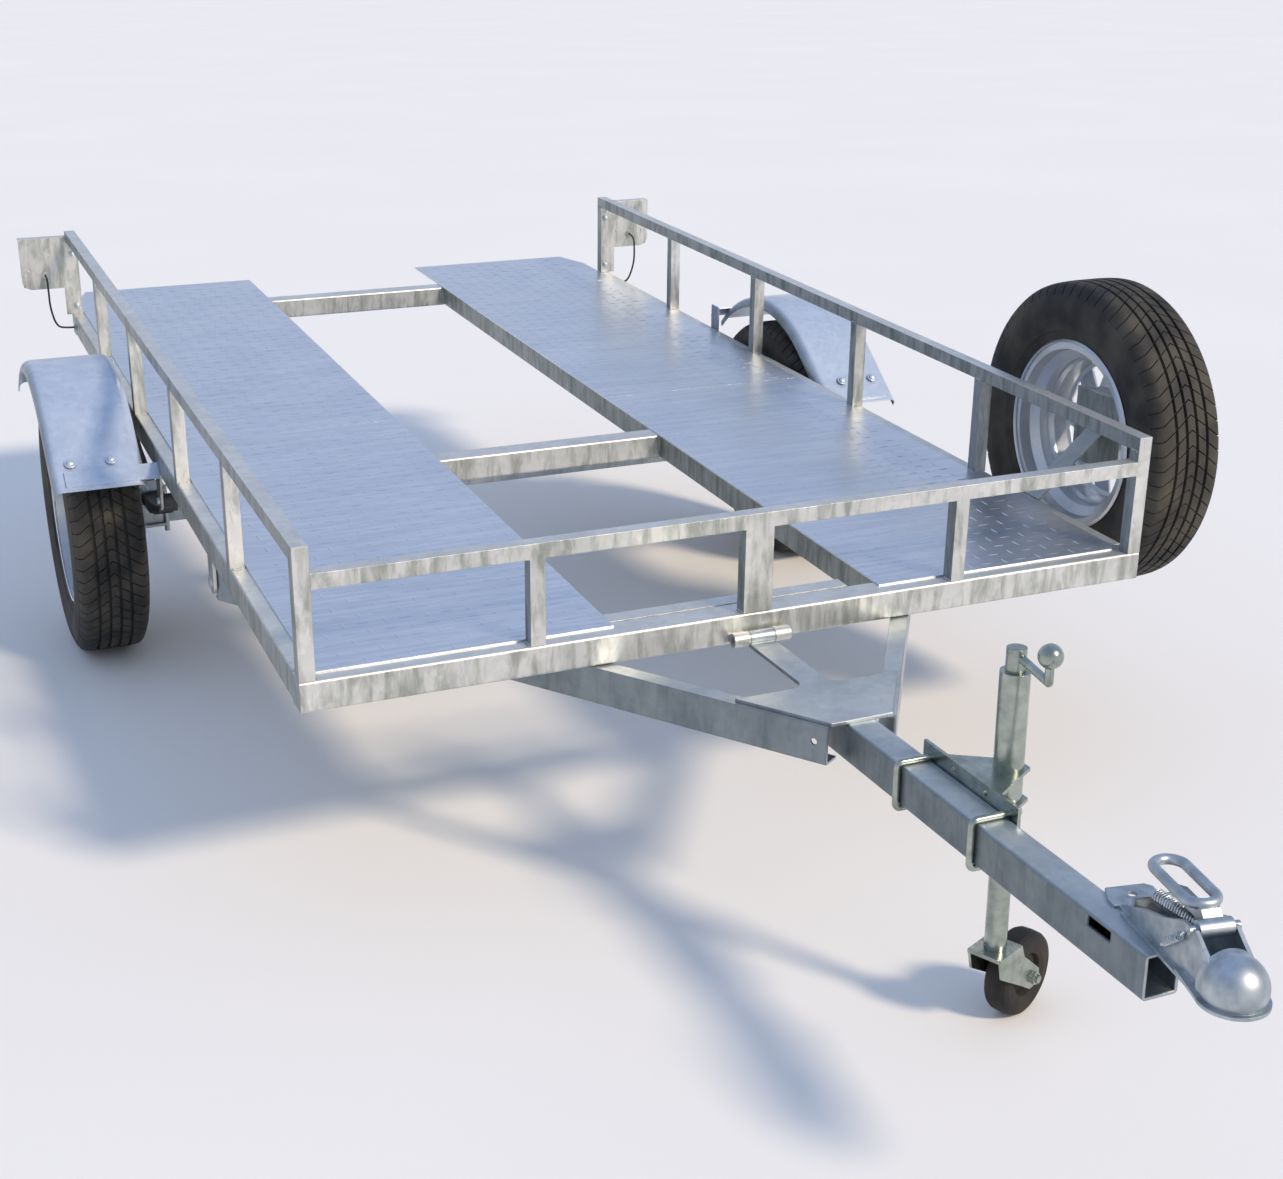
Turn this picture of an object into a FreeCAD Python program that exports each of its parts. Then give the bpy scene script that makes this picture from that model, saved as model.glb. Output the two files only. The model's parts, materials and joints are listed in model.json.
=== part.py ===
"""Tilt-bed golf cart trailer: a parametric model in millimetres.

A galvanised bed of square tube, open between two tread plate runways, tilts on an A-frame of
two channels that carries the drawbar, the ball coupling and the jockey wheel.

Pieces are drawn on the bed's own datum: x across with the spare wheel at +x, y from the bed's
front face to the rear, z up from the underside of the bed's rails. Pieces of the A-frame are
drawn level on the same datum and then turned up about the tilt pivots by the angle rise. Last,
the whole trailer is turned so that its road wheels and its jockey wheel stand on one level
ground, and moved so that the origin is the middle of its outline, on the ground.
"""
import FreeCAD, Part
import math
import os
import re
import Sketcher

Vector = FreeCAD.Vector

SIZES = {
    # Bed of square tube
    "bed_width": 1500, "bed_length": 2500, "rail": 50, "rail_wall": 3, "rail_corner": 5,
    "side_height": 262, "front_height": 219, "fence_tube": 25, "fence_wall": 2,
    "front_mid_post": 50, "front_post_x": 376, "bay": 500, "mid_rail_y": 1000,
    "filler_width": 32, "filler_leg": 32, "filler_wall": 4, "filler_short": 53,
    # Runways of tread plate
    "runway_inner": 240, "runway_inset": 5, "runway_front": 27, "sheet": 3, "sheet_joint": 1245,
    "sheet_gap": 0.6, "tail": 215, "tail_cut_x": 35, "tail_cut_y": 110, "runway_side_gap": 3,
    # Tilt pivots and front latch
    "pivot_y": 715, "pivot_inset": 35, "sleeve_length": 48, "sleeve_r": 17, "pivot_pin_r": 10,
    "pin_play": 0.05, "ear": 6, "ear_r": 22, "side_play": 0.6, "rise": 1.7, "stop_gap": 0.6,
    "latch_y": -14, "latch_z": 13, "latch_r": 12, "latch_bore": 6.5, "latch_middle": 44,
    "latch_outer": 28, "latch_play": 0.6,
    # A-frame and drawbar
    "leg_height": 60, "leg_flange": 30, "leg_wall": 4, "leg_front_x": 58, "leg_front_y": -349,
    "plate": 6, "plate_inset": 7, "plate_back": -212, "plate_fillet": 22, "tongue": 46,
    "web_hole_r": 5.5, "web_hole_y": 22,
    "bar_width": 50, "bar_height": 60, "bar_wall": 4, "bar_front": -1046, "bar_back": -205,
    "slot_y": -981, "slot_length": 47, "slot_height": 15,
    # Coupling, drawn along y from the middle of its ball and turned about it
    "ball_y": -1163, "ball_z": 22, "ball_r": 25.2, "dome_r": 38, "coupler_turn": 10.7,
    "coupler_back": 261, "flange_half": 33.5, "flange": 4, "lip_r": 41, "lip_lift": 4,
    "cheek_half": 27, "cheek": 5, "cheek_rise": 63, "cheek_y": 74, "cheek_low": 8,
    "cheek_back": 214, "lever_y": 54, "lever_z": 64, "lever_pin_r": 5.5, "coupler_bolt_r": 6,
    "grip_back": 184, "grip_half": 26, "grip_r": 6.5, "grip_z": 84, "trigger_half": 10,
    # Jockey wheel
    "jockey_x": 84, "jockey_y": -600, "jockey_r": 21, "jockey_wall": 2.8, "jockey_top": 142,
    "jockey_base": -55, "leg_r": 16, "leg_tube_wall": 3, "leg_top": -15, "bush": 12, "cap": 6,
    "slide_play": 0.15, "thread_depth": 2, "crank_r": 7, "crank_hub": 33, "crank_hub_r": 14, "crank_arm": 75,
    "crank_drop": 12, "crank_neck": 37, "crank_rod_r": 6, "knob_r": 17, "screw_end": -125,
    "swivel_r": 8, "jockey_turn": -65, "fork_top": -287, "fork_cap": 6, "fork_back": 29,
    "fork_plate": 4, "fork_inner": 46, "trail": 67, "jockey_wheel_r": 64,
    "jockey_wheel_width": 40, "jockey_axle_z": -350, "jockey_axle_r": 6, "jockey_hub_r": 33,
    "bracket": 5, "bracket_rise": 22, "bracket_reach": 34, "clamp_y1": -500, "clamp_y2": -690,
    "u_bolt_r": 5, "u_bolt_bend": 8,
    # Axle, springs, wheels and mudguards
    "axle_y": 1541, "axle_z": -186, "axle_beam": 45, "stub_r": 15, "hub_r": 34, "hub_play": 0.06,
    "spring_span": 600, "spring_width": 39, "leaf": 7, "leaves": 4, "eye_z": -65, "eye_r": 14,
    "eye_pin_r": 7, "hanger_play": 0.3, "hanger": 5, "spring_bolt_r": 5.5, "clamp_gap": 1.5,
    "wheel_gap": 25.5, "tyre_r": 290, "tyre_width": 155, "tyre_wall": 9, "groove": 6,
    "groove_step": 22, "rim_r": 182, "rim_width": 114, "bead_r": 165, "well_r": 146,
    "rim_wall": 3, "mount_offset": 18, "disc_wall": 4, "hub_hole_r": 32, "window_count": 8,
    "window_in": 84, "window_out": 124, "window_half": 15, "stud_count": 5, "stud_circle": 55,
    "stud_r": 6, "nut_r": 11, "nut": 12,
    "guard_gap": 26, "guard_over": 29.5, "guard_r": 352, "guard_wall": 2, "guard_side": 24,
    "guard_round": 20, "guard_back": 46, "guard_front": 126.5, "guard_run": 176,
    "guard_bar": 38, "guard_bar_wall": 4, "guard_bar_up": 66, "guard_bolt_r": 6,
    # Spare wheel
    "spare_out": 144, "spare_y": 350, "spare_z": 158, "carrier": 40, "carrier_wall": 5,
    "carrier_plate": 8,
    # Tail lamps
    "lamp_width": 118, "lamp_height": 130, "lamp_top": 252, "lamp_plate": 2.5, "lamp_depth": 48,
    "lamp_round": 22, "lamp_strip": 30, "lead_r": 2.5, "gland_x": 60, "gland_z": 158,
    "gland_r": 8, "gland": 4, "rail_gland_y": 2440, "rail_gland_z": 25,
}

# Places worked out from the sizes above. Trigonometry is in degrees.
PLACES = {
    "half_width": "bed_width / 2",
    "side_in": "bed_width / 2 - rail",
    "fence_in": "bed_width / 2 - fence_tube",
    "beam_in": "runway_inner + runway_inset",
    "beam_out": "runway_inner + runway_inset + rail",
    "deck_top": "rail + sheet",
    "pivot_x": "half_width - pivot_inset",
    "pivot_z": "-(stop_gap + (leg_height / 2 + pivot_y * sin(rise)) / cos(rise))",
    "splay": "atan((pivot_x + sleeve_length / 2 + 1 - leg_front_x)"
             " / (pivot_y - sleeve_r - leg_front_y)) / 1 deg",
    "leg_top_z": "pivot_z + leg_height / 2",
    "leg_base_z": "pivot_z - leg_height / 2",
    "bar_top": "leg_top_z",
    "bar_base": "bar_top - bar_height",
    "latch_frame_y": "pivot_y + (latch_y - pivot_y) * cos(rise) - (latch_z - pivot_z) * sin(rise)",
    "latch_frame_z": "pivot_z + (latch_z - pivot_z) * cos(rise) + (latch_y - pivot_y) * sin(rise)",
    "wheel_x": "half_width + wheel_gap + tyre_width / 2",
    "guard_inner": "half_width + guard_gap",
    "guard_outer": "wheel_x + tyre_width / 2 + guard_over",
    "spring_x": "half_width - rail / 2",
    "spare_x": "half_width + spare_out",
}

doc = FreeCAD.newDocument("Trailer")
sheet = doc.addObject("Spreadsheet::Sheet", "Sizes")
for row, (alias, value) in enumerate(SIZES.items(), 1):
    sheet.set(f"A{row}", alias)
    sheet.set(f"B{row}", str(value))
    sheet.setAlias(f"B{row}", alias)
doc.recompute()

SIZE_WORD = re.compile(r"\b(" + "|".join(SIZES) + r")\b")
PLACE_WORD = re.compile(r"\b(" + "|".join(PLACES) + r")\b")


def formula(text):
    """A formula in plain size names, written for the document's expressions."""
    return PLACE_WORD.sub(r"Places.\1", SIZE_WORD.sub(r"Sizes.\1", text))


places = doc.addObject("App::VarSet", "Places")
for name, text in PLACES.items():
    places.addProperty("App::PropertyFloat", name, "Places", "")
    places.setExpression(name, formula(text))
doc.recompute()


def mm(name):
    """The value of a size or a place, for shapes that are worked out here."""
    return float(getattr(places, name)) if name in PLACES else float(sheet.get(name))


def bind(obj, **formulas):
    """Tie properties of an object to formulas of the sizes."""
    for key, text in formulas.items():
        obj.setExpression(key.replace("__", "."), formula(text))
    return obj


def place(obj, x="0", y="0", z="0"):
    """Tie an object's position to formulas of the sizes."""
    return bind(obj, Placement__Base__x=x, Placement__Base__y=y, Placement__Base__z=z)


def box(name, x, y, z, dx, dy, dz):
    """A block with its low corner at x, y, z."""
    block = doc.addObject("Part::Box", name)
    bind(block, Length=dx, Width=dy, Height=dz)
    return place(block, x, y, z)


TURN = {"X": FreeCAD.Rotation(Vector(0, 1, 0), 90),
        "Y": FreeCAD.Rotation(Vector(1, 0, 0), -90),
        "Z": FreeCAD.Rotation()}


def rod(name, axis, x, y, z, radius, length):
    """A round bar that starts at x, y, z and runs along an axis."""
    bar = doc.addObject("Part::Cylinder", name)
    bar.Placement = FreeCAD.Placement(Vector(), TURN[axis])
    bind(bar, Radius=radius, Height=length)
    return place(bar, x, y, z)


def cut(name, base, *tools):
    """A base with its tools taken away."""
    tool = tools[0] if len(tools) == 1 else fuse(name + "Tools", *tools)
    result = doc.addObject("Part::Cut", name)
    result.Base = base
    result.Tool = tool
    return result


def fuse(name, *parts):
    """Several shapes welded into one."""
    result = doc.addObject("Part::MultiFuse", name)
    result.Shapes = list(parts)
    return result


def common(name, first, second):
    """What two shapes share."""
    result = doc.addObject("Part::Common", name)
    result.Base = first
    result.Tool = second
    return result


def mirror(name, source):
    """The same piece on the other side of the trailer's middle."""
    result = doc.addObject("Part::Mirroring", name)
    result.Source = source
    result.Normal = Vector(1, 0, 0)
    return result


def feature(name, shape):
    """A shape that was worked out with the sizes in this file."""
    result = doc.addObject("Part::Feature", name)
    result.Shape = shape
    return result


PLANE = {"X": "YZ_Plane", "Y": "XZ_Plane", "Z": "XY_Plane"}


def section(body, axis, name):
    """An empty sketch on the origin plane that an axis crosses."""
    sketch = body.newObject("Sketcher::SketchObject", name)
    roles = {item.Role: item for item in body.Origin.OriginFeatures}
    sketch.AttachmentSupport = [(roles[PLANE[axis]], "")]
    sketch.MapMode = "FlatFace"
    return sketch


def outline(sketch, corners):
    """A closed outline of straight lines whose corners are tied to formulas."""
    first = sketch.GeometryCount
    count = len(corners)
    for index in range(count):
        turn = 2 * math.pi * index / count
        ahead = 2 * math.pi * (index + 1) / count
        start = Vector(math.cos(turn), math.sin(turn), 0)
        end = Vector(math.cos(ahead), math.sin(ahead), 0)
        sketch.addGeometry(Part.LineSegment(start, end))
    for index in range(count):
        line = first + index
        following = first + (index + 1) % count
        sketch.addConstraint(Sketcher.Constraint("Coincident", line, 2, following, 1))
    for index, corner in enumerate(corners):
        line = first + index
        for kind, text in zip(("DistanceX", "DistanceY"), corner):
            rule = sketch.addConstraint(Sketcher.Constraint(kind, -1, 1, line, 1, 1.0))
            sketch.setExpression(f"Constraints[{rule}]", formula(text))


def rounded_outline(sketch, width, height, radius):
    """A closed rectangle with round corners and its low corner on the origin."""
    first = sketch.GeometryCount
    wide, high, r = 40.0, 40.0, 4.0
    ends = [((r, 0), (wide - r, 0)), ((wide, r), (wide, high - r)),
            ((wide - r, high), (r, high)), ((0, high - r), (0, r))]
    centres = [(wide - r, r), (wide - r, high - r), (r, high - r), (r, r)]
    for index in range(4):
        (ax, ay), (bx, by) = ends[index]
        sketch.addGeometry(Part.LineSegment(Vector(ax, ay, 0), Vector(bx, by, 0)))
        circle = Part.Circle(Vector(*centres[index], 0), Vector(0, 0, 1), r)
        start = math.pi / 2 * (index - 1)
        sketch.addGeometry(Part.ArcOfCircle(circle, start, start + math.pi / 2))
    for index in range(8):
        curve = first + index
        following = first + (index + 1) % 8
        sketch.addConstraint(Sketcher.Constraint("Tangent", curve, 2, following, 1))
    for index, kind in enumerate(("Horizontal", "Vertical", "Horizontal", "Vertical")):
        sketch.addConstraint(Sketcher.Constraint(kind, first + 2 * index))
    for index in (3, 5, 7):
        sketch.addConstraint(Sketcher.Constraint("Equal", first + 1, first + index))
    bottom, right, top, left = first, first + 2, first + 4, first + 6
    rules = [("Radius", (first + 1,), radius),
             ("DistanceY", (-1, 1, bottom, 1), "0"), ("DistanceX", (-1, 1, left, 1), "0"),
             ("DistanceX", (-1, 1, right, 1), width), ("DistanceY", (-1, 1, top, 1), height)]
    for kind, where, text in rules:
        rule = sketch.addConstraint(Sketcher.Constraint(kind, *where, r if kind == "Radius" else 0.0))
        sketch.setExpression(f"Constraints[{rule}]", formula(text))


def pad(body, sketch, axis, length):
    """The sketch made solid along its axis, towards plus."""
    solid = body.newObject("PartDesign::Pad", sketch.Name + "Pad")
    solid.Profile = sketch
    solid.Reversed = axis == "Y"
    bind(solid, Length=length)
    return solid


def tube(name, axis, x, y, z, width, height, length, wall, corner):
    """Rectangular tube with round outer corners, drawn as its section and padded."""
    body = doc.addObject("PartDesign::Body", name)
    profile = section(body, axis, name + "Section")
    rounded_outline(profile, width, height, corner)
    far_x = f"{width} - {wall}"
    far_y = f"{height} - {wall}"
    outline(profile, [(wall, wall), (far_x, wall), (far_x, far_y), (wall, far_y)])
    pad(body, profile, axis, length)
    return place(body, x, y, z)


def bar(name, axis, corners, length, x="0", y="0", z="0"):
    """A flat piece or rolled section: its outline padded along an axis."""
    body = doc.addObject("PartDesign::Body", name)
    profile = section(body, axis, name + "Outline")
    outline(profile, corners)
    pad(body, profile, axis, length)
    return place(body, x, y, z)


BED = []
FRAME = []
LABELS = []


def node(group, label, *parts):
    """A finished piece: its parts in one object of its own, named by its label."""
    piece = doc.addObject("Part::Compound", label)
    piece.Label = label
    piece.Links = list(parts)
    group.append(piece)
    LABELS.append(label)
    return piece


SIDES = (("left", -1), ("right", 1))


def on_side(name, sign, right_piece):
    """The piece as drawn for the right side, or its mirror image for the left."""
    return right_piece if sign > 0 else mirror(name + "Mirrored", right_piece)


# Bed rails of square tube

def bed_rails():
    rail_tube = ("rail", "rail")
    finish = ("rail_wall", "rail_corner")
    for name, y in (("front", "0"), ("rear", "bed_length - rail")):
        label = name.title() + "Rail"
        pieces = [tube(label, "X", "-half_width", y, "0", *rail_tube, "bed_width", *finish)]
        inside = "rail - 2 * rail_wall"
        for side, x in (("Left", "-half_width"), ("Right", "half_width - rail_wall")):
            pieces.append(box(f"{label}Cap{side}", x, f"{y} + rail_wall - 0.5", "rail_wall - 0.5",
                              "rail_wall", f"{inside} + 1", f"{inside} + 1"))
        node(BED, f"{name}_rail", fuse(label + "Closed", *pieces))
    inner_length = "bed_length - 2 * rail"
    for side, sign in SIDES:
        low = "side_in" if sign > 0 else "-half_width"
        node(BED, f"side_rail_{side}",
             tube(f"SideRail{side}", "Y", low, "rail", "0", *rail_tube, inner_length, *finish))
        low = "beam_in" if sign > 0 else "-beam_out"
        node(BED, f"deck_beam_{side}",
             tube(f"DeckBeam{side}", "Y", low, "rail", "0", *rail_tube, inner_length, *finish))
    start = "mid_rail_y - rail"
    node(BED, "mid_rail",
         tube("MidRail", "X", "-beam_in", start, "0", *rail_tube, "2 * beam_in", *finish),
         tube("MidRailLeft", "X", "-side_in", start, "0", *rail_tube, "side_in - beam_out", *finish),
         tube("MidRailRight", "X", "beam_out", start, "0", *rail_tube, "side_in - beam_out", *finish))
    corners = [("rail", "rail"), ("rail", "rail - filler_wall"),
               ("rail + filler_width - filler_wall", "rail - filler_wall"),
               ("rail + filler_width - filler_wall", "rail - filler_leg"),
               ("rail + filler_width", "rail - filler_leg"), ("rail + filler_width", "rail")]
    node(BED, "front_filler",
         bar("FrontFiller", "X", corners, "2 * beam_in - filler_short", x="-beam_in"))


# Fences of light square tube

def fence(name, outers, inners):
    """Tubes welded together: their outsides joined, then their insides taken out."""
    return cut(name, fuse(name + "Outside", *outers), fuse(name + "Inside", *inners))


def upright(name, x, y, base, top, wide="fence_tube", high_gap="0"):
    """The outside and the hollow of one fence post."""
    outside = box(name, x, y, base, wide, "fence_tube", f"{top} - {base}")
    inside = box(name + "Hollow", f"{x} + fence_wall", f"{y} + fence_wall", base,
                 f"{wide} - 2 * fence_wall", "fence_tube - 2 * fence_wall", f"{top} - {base}")
    return outside, inside


def fences():
    under = "side_height - fence_tube"
    outers = [box("SideTop", "fence_in", "0", under, "fence_tube", "bed_length", "fence_tube")]
    inners = [box("SideTopHollow", "fence_in + fence_wall", "fence_wall",
                  f"{under} + fence_wall", "fence_tube - 2 * fence_wall",
                  "bed_length - 2 * fence_wall", "fence_tube - 2 * fence_wall")]
    steps = round(mm("bed_length") / mm("bay"))
    for index in range(steps + 1):
        y = f"{index} * (bed_length - fence_tube) / {steps}"
        outside, inside = upright(f"SidePost{index}", "fence_in", y, "rail", under)
        outers.append(outside)
        inners.append(inside)
    right = fence("SideFence", outers, inners)
    for side, sign in SIDES:
        node(BED, f"side_fence_{side}", on_side("SideFence", sign, right))

    under = "front_height - fence_tube"
    outers = [box("FrontTop", "-fence_in", "0", under, "2 * fence_in", "fence_tube", "fence_tube")]
    inners = [box("FrontTopHollow", "-fence_in", "fence_wall", f"{under} + fence_wall",
                  "2 * fence_in", "fence_tube - 2 * fence_wall", "fence_tube - 2 * fence_wall")]
    posts = [("Left", "-front_post_x - fence_tube / 2", "fence_tube"),
             ("Mid", "-front_mid_post / 2", "front_mid_post"),
             ("Right", "front_post_x - fence_tube / 2", "fence_tube")]
    for post, x, wide in posts:
        outside, inside = upright(f"FrontPost{post}", x, "0", "rail", under, wide)
        outers.append(outside)
        inners.append(inside)
    node(BED, "front_fence", fence("FrontFence", outers, inners))


# Runways: two tread plate sheets a side, the rear one running past the bed as a tail

def runways():
    edge = "fence_in - runway_side_gap"
    front = [("runway_inner", "runway_front"), (edge, "runway_front"),
             (edge, "sheet_joint - sheet_gap"), ("runway_inner", "sheet_joint - sheet_gap")]
    back = "bed_length + tail"
    rear = [("runway_inner", "sheet_joint"), (edge, "sheet_joint"), (edge, f"{back} - tail_cut_y"),
            (f"{edge} - tail_cut_x", back), ("runway_inner", back)]
    for part, corners in (("front", front), ("rear", rear)):
        right = bar(f"Runway{part}", "Z", corners, "sheet", z="rail")
        for side, sign in SIDES:
            node(BED, f"runway_{side}_{part}", on_side(f"Runway{part}", sign, right))


# Front latch: two sleeves on the bed take a third between them on the A-frame's tongue

def latch_sleeve(name, x, y, z, length):
    return cut(name, rod(name + "Round", "X", x, y, z, "latch_r", length),
               rod(name + "Bore", "X", f"{x} - 1", y, z, "latch_bore", f"{length} + 2"))


def bed_latch():
    start = "latch_middle / 2 + latch_play"
    seat = cut("LatchSeat", box("LatchSeatBlock", start, "latch_y", "latch_z - latch_r / 2",
                                "latch_outer", "-latch_y", "latch_r"),
               rod("LatchSeatBore", "X", f"{start} - 1", "latch_y", "latch_z", "latch_bore",
                   "latch_outer + 2"))
    sleeve = latch_sleeve("LatchOuter", start, "latch_y", "latch_z", "latch_outer")
    right = fuse("LatchSleeve", sleeve, seat)
    node(BED, "latch_sleeves", right, mirror("LatchSleeveMirrored", right))


# Tilt pivots: an ear each side of a sleeve on the A-frame's leg, with a pin through all three

def pivots():
    inner = "pivot_x - sleeve_length / 2 - side_play - ear"
    outer = "pivot_x + sleeve_length / 2 + side_play"
    ears = []
    for name, x in (("Inner", inner), ("Outer", outer)):
        block = box(f"Ear{name}Block", x, "pivot_y - ear_r", "pivot_z", "ear", "2 * ear_r", "-pivot_z")
        end = rod(f"Ear{name}End", "X", x, "pivot_y", "pivot_z", "ear_r", "ear")
        ears += [block, end]
    pin = rod("PivotPin", "X", f"{inner} - 4", "pivot_y", "pivot_z", "pivot_pin_r",
              f"({outer}) - ({inner}) + ear + 8")
    right = fuse("PivotBracket", *ears, pin)
    node(BED, "pivot_brackets", right, mirror("PivotBracketMirrored", right))


# A-frame: two channels with their webs outside, a sleeve at each rear end and a front plate

def frame_legs():
    length = "(pivot_y - leg_front_y + leg_height) / cos(splay)"
    web = [("0", "0"), ("leg_flange", "0"), ("leg_flange", "leg_wall"), ("leg_wall", "leg_wall"),
           ("leg_wall", "leg_height - leg_wall"), ("leg_flange", "leg_height - leg_wall"),
           ("leg_flange", "leg_height"), ("0", "leg_height")]
    channel = bar("LegChannel", "Y", web, length)
    hole = rod("LegHole", "X", "-5", "web_hole_y", "leg_height / 2 + 3", "web_hole_r", "leg_wall + 10")
    drilled = cut("LegDrilled", channel, hole)
    bind(drilled, Placement__Rotation__Angle="splay")
    place(drilled, "-leg_front_x", "leg_front_y", "leg_base_z")
    reach = box("LegReach", "-pivot_x - sleeve_length / 2", "leg_front_y - leg_height",
                "leg_base_z - 1", "pivot_x + sleeve_length / 2 + leg_height",
                "pivot_y - leg_front_y + leg_height", "leg_height + 2")
    trimmed = common("LegTrimmed", drilled, reach)
    seat = rod("LegSeat", "X", "-pivot_x - sleeve_length", "pivot_y", "pivot_z", "sleeve_r",
               "2 * sleeve_length")
    leg = cut("LegCut", trimmed, seat)
    sleeve = cut("PivotSleeve", rod("SleeveRound", "X", "-pivot_x - sleeve_length / 2", "pivot_y",
                                    "pivot_z", "sleeve_r", "sleeve_length"),
                 rod("SleeveBore", "X", "-pivot_x - sleeve_length", "pivot_y", "pivot_z",
                     "pivot_pin_r + pin_play", "2 * sleeve_length"))
    left = fuse("FrameLeg", leg, sleeve)
    node(FRAME, "frame_leg_left", left)
    node(FRAME, "frame_leg_right", mirror("FrameLegMirrored", left))


def frame_plate():
    slope = "tan(splay)"
    front = "leg_front_x - plate_inset"
    back = f"leg_front_x - plate_inset + (plate_back - leg_front_y) * {slope}"
    tip = "latch_frame_y"
    half = "tongue / 2"
    bend = []
    for angle in (0, 22.5, 45, 67.5, 90):
        bend.append((f"{half} + plate_fillet * (1 - sin({angle}))",
                     f"plate_back + plate_fillet * (1 - cos({angle}))"))
    right = [(front, "leg_front_y"), (back, "plate_back"), *bend, (half, tip)]
    left = [(f"-({x})", y) for x, y in reversed(right)]
    flat = bar("FramePlate", "Z", right + left, "plate", z="leg_top_z")
    seat = rod("TongueSeat", "X", "-tongue", "latch_frame_y", "latch_frame_z", "latch_r - 0.5",
               "2 * tongue")
    knuckle = latch_sleeve("LatchMiddle", "-latch_middle / 2", "latch_frame_y", "latch_frame_z",
                           "latch_middle")
    side_room = "latch_middle / 2 + latch_play / 2"
    relief = [box(f"TongueRelief{side}", low, f"{tip} - latch_r - 1", "leg_top_z - 1", "tongue",
                  "2 * latch_r + 2", "plate + 2")
              for side, low in (("Left", f"-({side_room}) - tongue"), ("Right", side_room))]
    node(FRAME, "frame_plate",
         fuse("PlateAndSleeve", cut("PlateCut", flat, seat, *relief), knuckle))


def drawbar():
    beam = tube("Drawbar", "Y", "-bar_width / 2", "bar_front", "bar_base", "bar_width",
                "bar_height", "bar_back - bar_front", "bar_wall", "rail_corner")
    slot = box("SafetySlot", "-bar_width", "slot_y", "bar_top - bar_wall - slot_height",
               "2 * bar_width", "slot_length", "slot_height")
    node(FRAME, "drawbar", cut("DrawbarSlotted", beam, slot))


# Ball coupling: a pressed body on the drawbar's end with a cup for the ball, and its hand lever.
# Both are drawn back along y from the middle of the ball, then turned about it.

def sheet_piece(points, low, high, axis="Z"):
    """A flat outline given thickness between low and high along an axis."""
    if axis == "Z":
        corners = [Vector(a, b, low) for a, b in points]
        way = Vector(0, 0, high - low)
    else:
        corners = [Vector(low, a, b) for a, b in points]
        way = Vector(high - low, 0, 0)
    return Part.Face(Part.makePolygon(corners + corners[:1])).extrude(way)


def hexagon(radius, thick, base, axis):
    """A nut or bolt head with its underside on base, standing along an axis."""
    corners = [Vector(radius * math.cos(math.radians(60 * k)),
                      radius * math.sin(math.radians(60 * k)), 0) for k in range(6)]
    head = Part.Face(Part.makePolygon(corners + corners[:1])).extrude(Vector(0, 0, thick))
    head.Placement = FreeCAD.Placement(base, FreeCAD.Rotation(Vector(0, 0, 1), axis))
    return head


def on_ball(shape):
    """A shape of the coupling, turned about the ball and set down on the drawbar."""
    shape.rotate(Vector(), Vector(0, 0, 1), -mm("coupler_turn"))
    shape.translate(Vector(0, mm("ball_y"), mm("bar_top")))
    return shape


def coupler():
    half, thick, back = mm("flange_half"), mm("flange"), mm("coupler_back")
    lip, lift, dome = mm("lip_r"), mm("lip_lift"), mm("dome_r")
    ball = Vector(0, 0, mm("ball_z"))
    flange = sheet_piece([(-half, 20), (half, 20), (half, back - 8), (half - 8, back),
                          (8 - half, back), (-half, back - 26)], 0, thick)
    nose = sheet_piece([(-half, 70), (half, 70), (lip, 0), (-lip, 0)], lift, lift + thick)
    nose = nose.fuse(Part.makeCylinder(lip, thick, Vector(0, 0, lift)))
    cup = Part.makeSphere(dome, ball).fuse(Part.makeCylinder(dome - 1, 18, ball, Vector(0, 1, 0)))
    cup = cup.cut(Part.makeBox(4 * dome, 4 * dome, 2 * dome, Vector(-2 * dome, -2 * dome, lift - 2 * dome)))
    rise, low, cheek = mm("cheek_rise"), mm("cheek_low"), mm("cheek")
    outer, far, near = mm("cheek_half"), mm("cheek_back"), mm("cheek_y")
    side = [(far, thick - 1), (far, low), (far - 49, rise * 0.46), (near + 44, rise * 0.7),
            (near, rise + 2), (near - 28, rise + 5), (near - 46, rise - 6), (14, rise - 14),
            (0, rise - 24), (0, lift)]
    cheeks = [sheet_piece(side, low_x, low_x + cheek, "X") for low_x in (-outer, outer - cheek)]
    web = Part.makeBox(2 * outer - 2, cheek, 28, Vector(1 - outer, far - 28, thick - 1))
    body = flange.fuse([nose, cup, web] + cheeks)
    socket = Part.makeSphere(mm("ball_r"), ball)
    socket = socket.fuse(Part.makeCylinder(mm("ball_r"), 2 * dome, ball, Vector(0, 0, -1)))
    bolt = mm("coupler_bolt_r")
    hole = Part.makeCylinder(bolt, 4 * thick, Vector(0, back - 21, -thick))
    notch = Part.makeBox(10, 16, 4 * thick, Vector(-half - 4, back - 58, -thick))
    body = body.cut([socket, hole, notch])
    pin_at = Vector(-outer - 4, mm("lever_y"), mm("lever_z"))
    pin = Part.makeCylinder(mm("lever_pin_r"), 2 * outer + 8, pin_at, Vector(1, 0, 0))
    heads = [hexagon(1.75 * bolt, 7, Vector(0, y, thick - 0.5), Vector(0, 0, 1))
             for y in (near + 30, far - 50)]
    body = body.fuse([pin] + heads).removeSplitter()
    node(FRAME, "coupler_body", feature("CouplerBody", on_ball(body)))


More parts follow.
